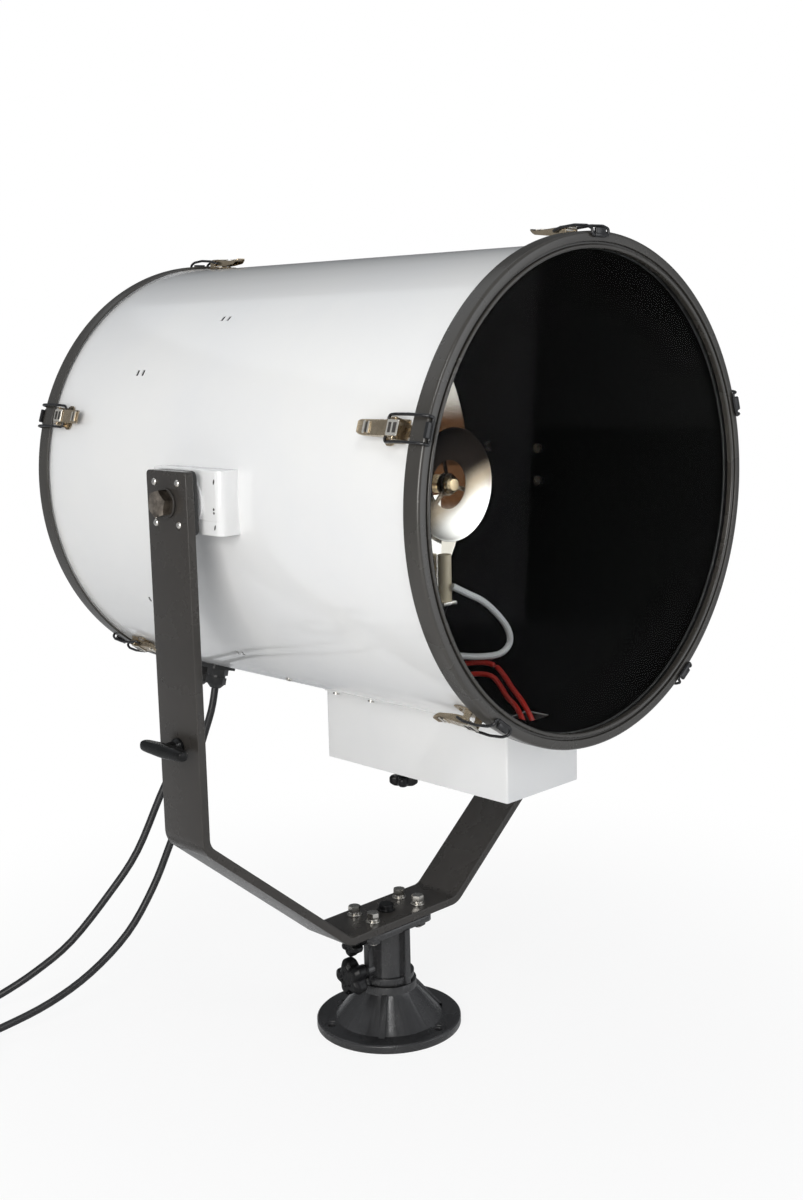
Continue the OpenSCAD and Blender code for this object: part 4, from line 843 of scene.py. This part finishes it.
def lever_details(frame_at):
    """Lever parts in a lighter copy of its steel, a painted highlight: two bands near the tip, the knuckle's
    frame, the rods; then dark slabs, painted shade in its gaps.
    """
    bright = [
        slab(box_of(14.0, 3.2), 1.4, 0.9, (2.3, 0, lever_tip + 9.5)),
        slab(box_of(13.0, 2.4), 1.3, 0.9, (2.4, 0, lever_tip + 16.3)),
        slab(box_of(17.4, 17.0), 1.2, 1.2, (4.0, 0, frame_at)),
        cross_bar(-1.0, -12.0, 2.6, 8.2), cross_bar(0.0, 0.0, 2.9, 8.9), cross_bar(2.6, 4.6, 1.5, 8.6)]
    gaps = [
        slab(box_of(12.0, 3.6), 0.3, 0.6, (2.55, 0, lever_tip + 12.9), soft=0.1),
        slab(box_of(11.4, 4.2), 0.25, 0.6, (5.1, 0, frame_at - 3.8), soft=0.1),
        slab(box_of(11.4, 5.2), 0.25, 0.6, (5.1, 0, frame_at + 3.6), soft=0.1)]
    return bright, gaps


hook, hook_in, wire_r = pivot_back + 2.15, -8.15, 1.75
bail_side = rounded([[-1, 15, -12], [2.6, 15, 0], [4.2, 15, 0.45 * hook], [2.6, 15, hook - 8],
    [-1, 15, hook], [hook_in, 15, hook]], [0, 14, 20, 10, 4.5, 0], 8, closed=False)
kept_bends = np.zeros(len(bail_side) - 2)
bail_corners = [[[-1, 6.5, -12]], bail_side, (bail_side * [1, -1, 1])[::-1], [[-1, -6.5, -12]]]
bail_bends = [[0, 4.5], kept_bends, [3.4, 3.4], kept_bends, [4.5, 0]]
bail_line = rounded(np.concatenate(bail_corners), np.concatenate(bail_bends), 8, closed=False)
bail_parts = [tube(bail_line, wire_r, 14), cross_bar(hook_in, hook, 2.7, 11.0, 0.8),
    slab(box_of(18, 4.4), 6.4, 1.2, (-6.6, 0, hook - 0.3))]


def seat_parts(low):
    """Riveted seat: a plate with rounded wings that follows the drum, a tongue ahead, two ears, the pin that
    they carry, and four rivets."""
    ear = rounded([[-6.5, -low + 0.3], [7, -low + 0.3], [4.4, 1.5], [3.2, 4.4], [-3.2, 4.4], [-4.4, 1.5]],
        [0.5, 0.5, 3, 3, 3, 3], 5)
    rivet = turned([[0, 2.9], [2.4, 2.4], [3.0, 1.0], [3.0, 0], [0, 0]], [0, 2, 1, 0, 0], 18, 3)
    return [
        slab(box_of(27, 33), 1.5, 3.0, (-low + 0.75, 0, -7)),
        slab(box_of(33, 15), 1.3, 5.0, (-low + 1.1, 0, -16)),
        slab(box_of(15, 9), 1.4, 2.0, (-low + 2.2, 0, 9.0)),
        *(slab(ear, 1.5, 0.2, (0, a, 0), AHEAD, OUT, ACROSS, 0.3) for a in (-11.7, 10.2)),
        cross_bar(0, 0, 2.0, 12.6),
        *(moved(rivet, (-low + 0.9, a, t), ACROSS, AHEAD, OUT) for t in (-18, 6) for a in (-5.4, 5.4))]


seat_all = []
for i in range(2 * latch_n):
    phi = radians(latch_first + latch_step * (i % latch_n))
    c, s = cos(phi), sin(phi)
    front, rear = (bezel_r, drum_front + 16, -1, 1.4), (rear_r, drum_rear + 17, 1, -4.6)
    ring_r, face, sign, frame_at = front if i < latch_n else rear
    pin_w = ring_r + pin_up
    pin = (c * pin_w, sign * (face - pivot_back), AXIS + s * pin_w)
    into = lambda parts: [moved(p, pin, (c, 0, s), (-s, 0, c), (0, sign, 0)) for p in parts]
    seat_all += into(seat_parts(pin_w - drum_r))
    highlight_parts, gaps = lever_details(frame_at)
    piece(f"latch_handle_{i}", into([(lever_points, lever_faces)]), latch_steel_warm_reflection, f"lever_{i}",
        f"latch_lever_{i}", sharp=40)
    piece(f"latch_knuckle_{i}", into(highlight_parts), painted_highlight_steel, f"lever_{i}")
    piece(f"latch_window_shade_{i}", into(gaps), painted_shade_dark, f"lever_{i}")
    piece(f"latch_wire_{i}", into(bail_parts), wire_black, f"bail_{i}", f"latch_bail_{i}")
piece("latch_seats", seat_all, latch_steel_warm_reflection, "head", "latch_bases")

# Reflector and lamp: a spun, polished parabolic bowl on four angle feet. A short-arc lamp lies on its axis
# between a ceramic socket behind the bowl and a polished cup on an upright strip in front.
# The bowl's cream colour and a dark brown band across its middle height are a painted reflection.
mirror_painted_reflection = metal("polished_mirror", (0.88, 0.84, 0.76), (0.82, 0.77, 0.68), 0.05, 0.04, 300, 8, 0.02)
cup_painted_reflection = metal("cup_with_painted_reflection", (0.9, 0.88, 0.84), (0.84, 0.81, 0.76), 0.28, 0.08, 300, 8, 0.02)
matt_black = surface("matt_black_steel", 0.012, 0.02, 0.5, 0.15, 500, 30, 0.1)
cream_ceramic = surface("cream_ceramic", (0.72, 0.62, 0.44), (0.66, 0.55, 0.38), 0.3, 0.15, 300, 40, 0.08)
lamp_cap = metal("lamp_cap_metal", (0.78, 0.62, 0.4), (0.62, 0.47, 0.29), 0.2, 0.15, 700, 60, 0.1)


def painted_reflection_bands(material, measure, spans):
    """Painted reflection: along a measured value, each span mixes the colour so far into a darker one."""
    tree = material.node_tree
    colour = next(n for n in tree.nodes if n.type == "GROUP" and n.node_tree == uneven).outputs["Colour"]
    for low, high, reflection_tone in spans:
        step = add_node(tree, "MapRange", {"Value": measure, "From Min": low, "From Max": high},
            interpolation_type="SMOOTHSTEP")
        colour = add_node(tree, "Mix", {"Factor": step, "A": colour, "B": (*reflection_tone, 1)}, data_type="RGBA")
    feed(tree, tree.nodes["Principled BSDF"], {"Base Color": colour})


def rise_along(material, slope):
    """Distance along a direction from the beam axis, as a value in a material."""
    tree = material.node_tree
    place = add_node(tree, "TexCoord").outputs["Object"]
    dot = add_node(tree, "VectorMath", {0: place, 1: slope}, operation="DOT_PRODUCT")
    return add_node(tree, "Math", {0: dot, 1: slope[2] * AXIS * MM}, operation="SUBTRACT")


# Painted reflection: the bowl dark brown near the beam axis's height, the cup tan, then near black towards
# its top.
bowl_rise = rise_along(mirror_painted_reflection, (0, 0, 1))
bowl_height = add_node(mirror_painted_reflection.node_tree, "Math", {0: bowl_rise}, operation="ABSOLUTE")
painted_reflection_bands(mirror_painted_reflection, bowl_height, [(0.115, 0.06, (0.1, 0.045, 0.02))])
painted_reflection_bands(cup_painted_reflection, rise_along(cup_painted_reflection, (-0.42, 0, 0.91)),
    [(-0.05, -0.02, (0.42, 0.34, 0.25)), (-0.026, 0.004, (0.014, 0.01, 0.008))])
rim_r, focal, rim_back, bowl_t = 280.0, 150.0, 88.0, 1.4
bowl_r = np.linspace(30, rim_r, 56)
bowl_f = bowl_r ** 2 / (4 * focal) - rim_back - rim_r ** 2 / (4 * focal)
bowl_bead = [[rim_r + 2.2, bowl_f[-1] + 0.6], [rim_r + 2.2, bowl_f[-1] - bowl_t]]
bowl_back = columns(bowl_r, bowl_f - bowl_t)[::-1]
bowl = np.concatenate([columns(bowl_r, bowl_f), bowl_bead, bowl_back])
piece("reflector_bowl", [along_drum(lathe(bowl, 224, closed=True))], mirror_painted_reflection, "head",
    "reflector", sharp=50)
dress(matt_black, "reflector_brackets", "lamp_frame", "ignitor")
cup_front, cup_depth, cup_in, cup_wide, spoke_mid = 146, 8, 32, 41, 23.5
cup_u = np.linspace(0, 1, 24)
cup_line = columns(cup_in + cup_wide * cup_u, cup_front - cup_depth * (1 - cup_u ** 2) ** 0.9)
cup_shape = np.concatenate([cup_line, [[74.0, 146.2], [74.5, 145.4]], (cup_line + [0.9, -1.5])[::-1]])
cup_parts = [lathe(cup_shape, 128, closed=True), ring_of(12.05, 15, 130, 138, 0.5, 3, 48)]
cup_turn = 270 + degrees(asin(-24 / 33))
for c, s in ((cos(a), sin(a)) for a in np.radians(cup_turn + 120 * np.arange(3))):
    cup_parts.append(slab(box_of(20, 6), 1.5, 1.0, (spoke_mid * c, spoke_mid * s, 136.0),
        (c, s, 0), (-s, c, 0), (0, 0, 1)))
piece("lamp_cup", [along_drum(p) for p in cup_parts], cup_painted_reflection, "head", "cup_reflector", sharp=50)
quartz = clear_finish("lamp_quartz", (0.96, 0.97, 0.97), 1.3)
arc_f = focal - rim_back - rim_r ** 2 / (4 * focal)
lamp_end, cap_len, stem_r, stem_front, bulb_half = arc_f - 180, 34, 9, 114, 34
bulb_u = np.linspace(-1, 1, 40)
globe_r = 24 * np.sqrt(np.maximum(1 - bulb_u ** 2, 0))
bulb_r = np.maximum(globe_r, stem_r * np.clip(1.2 - 0.2 * np.abs(bulb_u), 0, 1))
bulb = np.concatenate([[[0, lamp_end + cap_len], [stem_r, lamp_end + cap_len]],
    columns(bulb_r, arc_f + bulb_half * bulb_u), [[stem_r, stem_front], [0, stem_front]]])
piece("lamp_bulb", [along_drum(lathe(bulb, 48))], quartz, "head", "lamp")
cap_front = rounded([[0, 148], [8, 148], [12, 144], [12, 126], [12, 114], [9, 112], [0, 112]],
    [0, 2, 2, 0, 1, 1, 0], 4, closed=False)
cap_rear = rounded([[0, cap_len], [9, cap_len], [12, 32], [12, 0], [0, 0]], [0, 1, 1, 1, 0], 4, closed=False)
cathode = np.array([[0, -144], [3, -144], [3, -19], [5, -17], [5, -9], [1.2, -3], [0, -3]])
anode = np.array([[0, 112 - arc_f], [3, 112 - arc_f], [3, 29], [6, 26], [6, 11], [2, 3], [0, 3]])
lamp_shapes = (cap_front, cap_rear + [0, lamp_end], cathode + [0, arc_f], anode + [0, arc_f])
piece("lamp_caps", [along_drum(lathe(p, 40)) for p in lamp_shapes], lamp_cap, "head")
eased("lamp_ceramics", 0.8, cream_ceramic, "head")
eased("lamp_strut", 0.5, zinc_steel, "head")

# Lamp leads: a white silicone sleeve from the ceramic post loops down to the floor, and two red leads run
# beside it through the hole into the ignitor box.
sleeve_white = surface("sleeve_white", (0.74, 0.74, 0.73), 0.68, 0.4, 0.15, 700, 40, 0.12)
sleeve_red = surface("sleeve_red", (0.55, 0.03, 0.02), (0.42, 0.02, 0.015), 0.34, 0.15, 700, 40, 0.1)
dress(sleeve_white, "white_lead")
dress(sleeve_red, "red_leads")

# Ignitor box: folded white sheet under the drum, open above, its strips screwed to the shell. The knob under
# it holds its floor.
box_half, box_mid = np.array([70.0, 165.5]), np.array([0.0, -129.5])
plan_round, fold_round = 12.0, 3.0


def sharper_folds(points):
    """Draws the box's upright corners out: points on a corner's arc keep their direction from its centre,
    and the centre moves out with the smaller radius of the fold."""
    off = points[:, :2] - box_mid
    past = np.abs(off) - (box_half - plan_round)
    reach = norm(past, axis=1, keepdims=True)
    corner = (past > -0.01).all(1) & (reach[:, 0] < plan_round + 0.1)
    drawn = (box_half - fold_round) + past / np.maximum(reach, 0.01) * (reach - plan_round + fold_round)
    points = points.copy()
    points[corner, :2] = (np.sign(off) * drawn)[corner] + box_mid
    return points


eased("ignitor_box", 0.8, white_gloss, "head", segments=3, reshape=sharper_folds)
star_knob("box_knob_grip", "box_knob", (-45, -88, 400.7), (0, 0, -1), (1, 0, 0), 20, 14, 8, 14, "box_screw")

# Cable glands: two black plastic compression glands on a common seat plate under the drum's rear. The cables
# above leave through them.
gland_black = surface("gland_black", 0.012, 0.02, 0.4, 0.15, 600, 40, 0.12)
eased("cable_glands", 0.7, gland_black, "head")

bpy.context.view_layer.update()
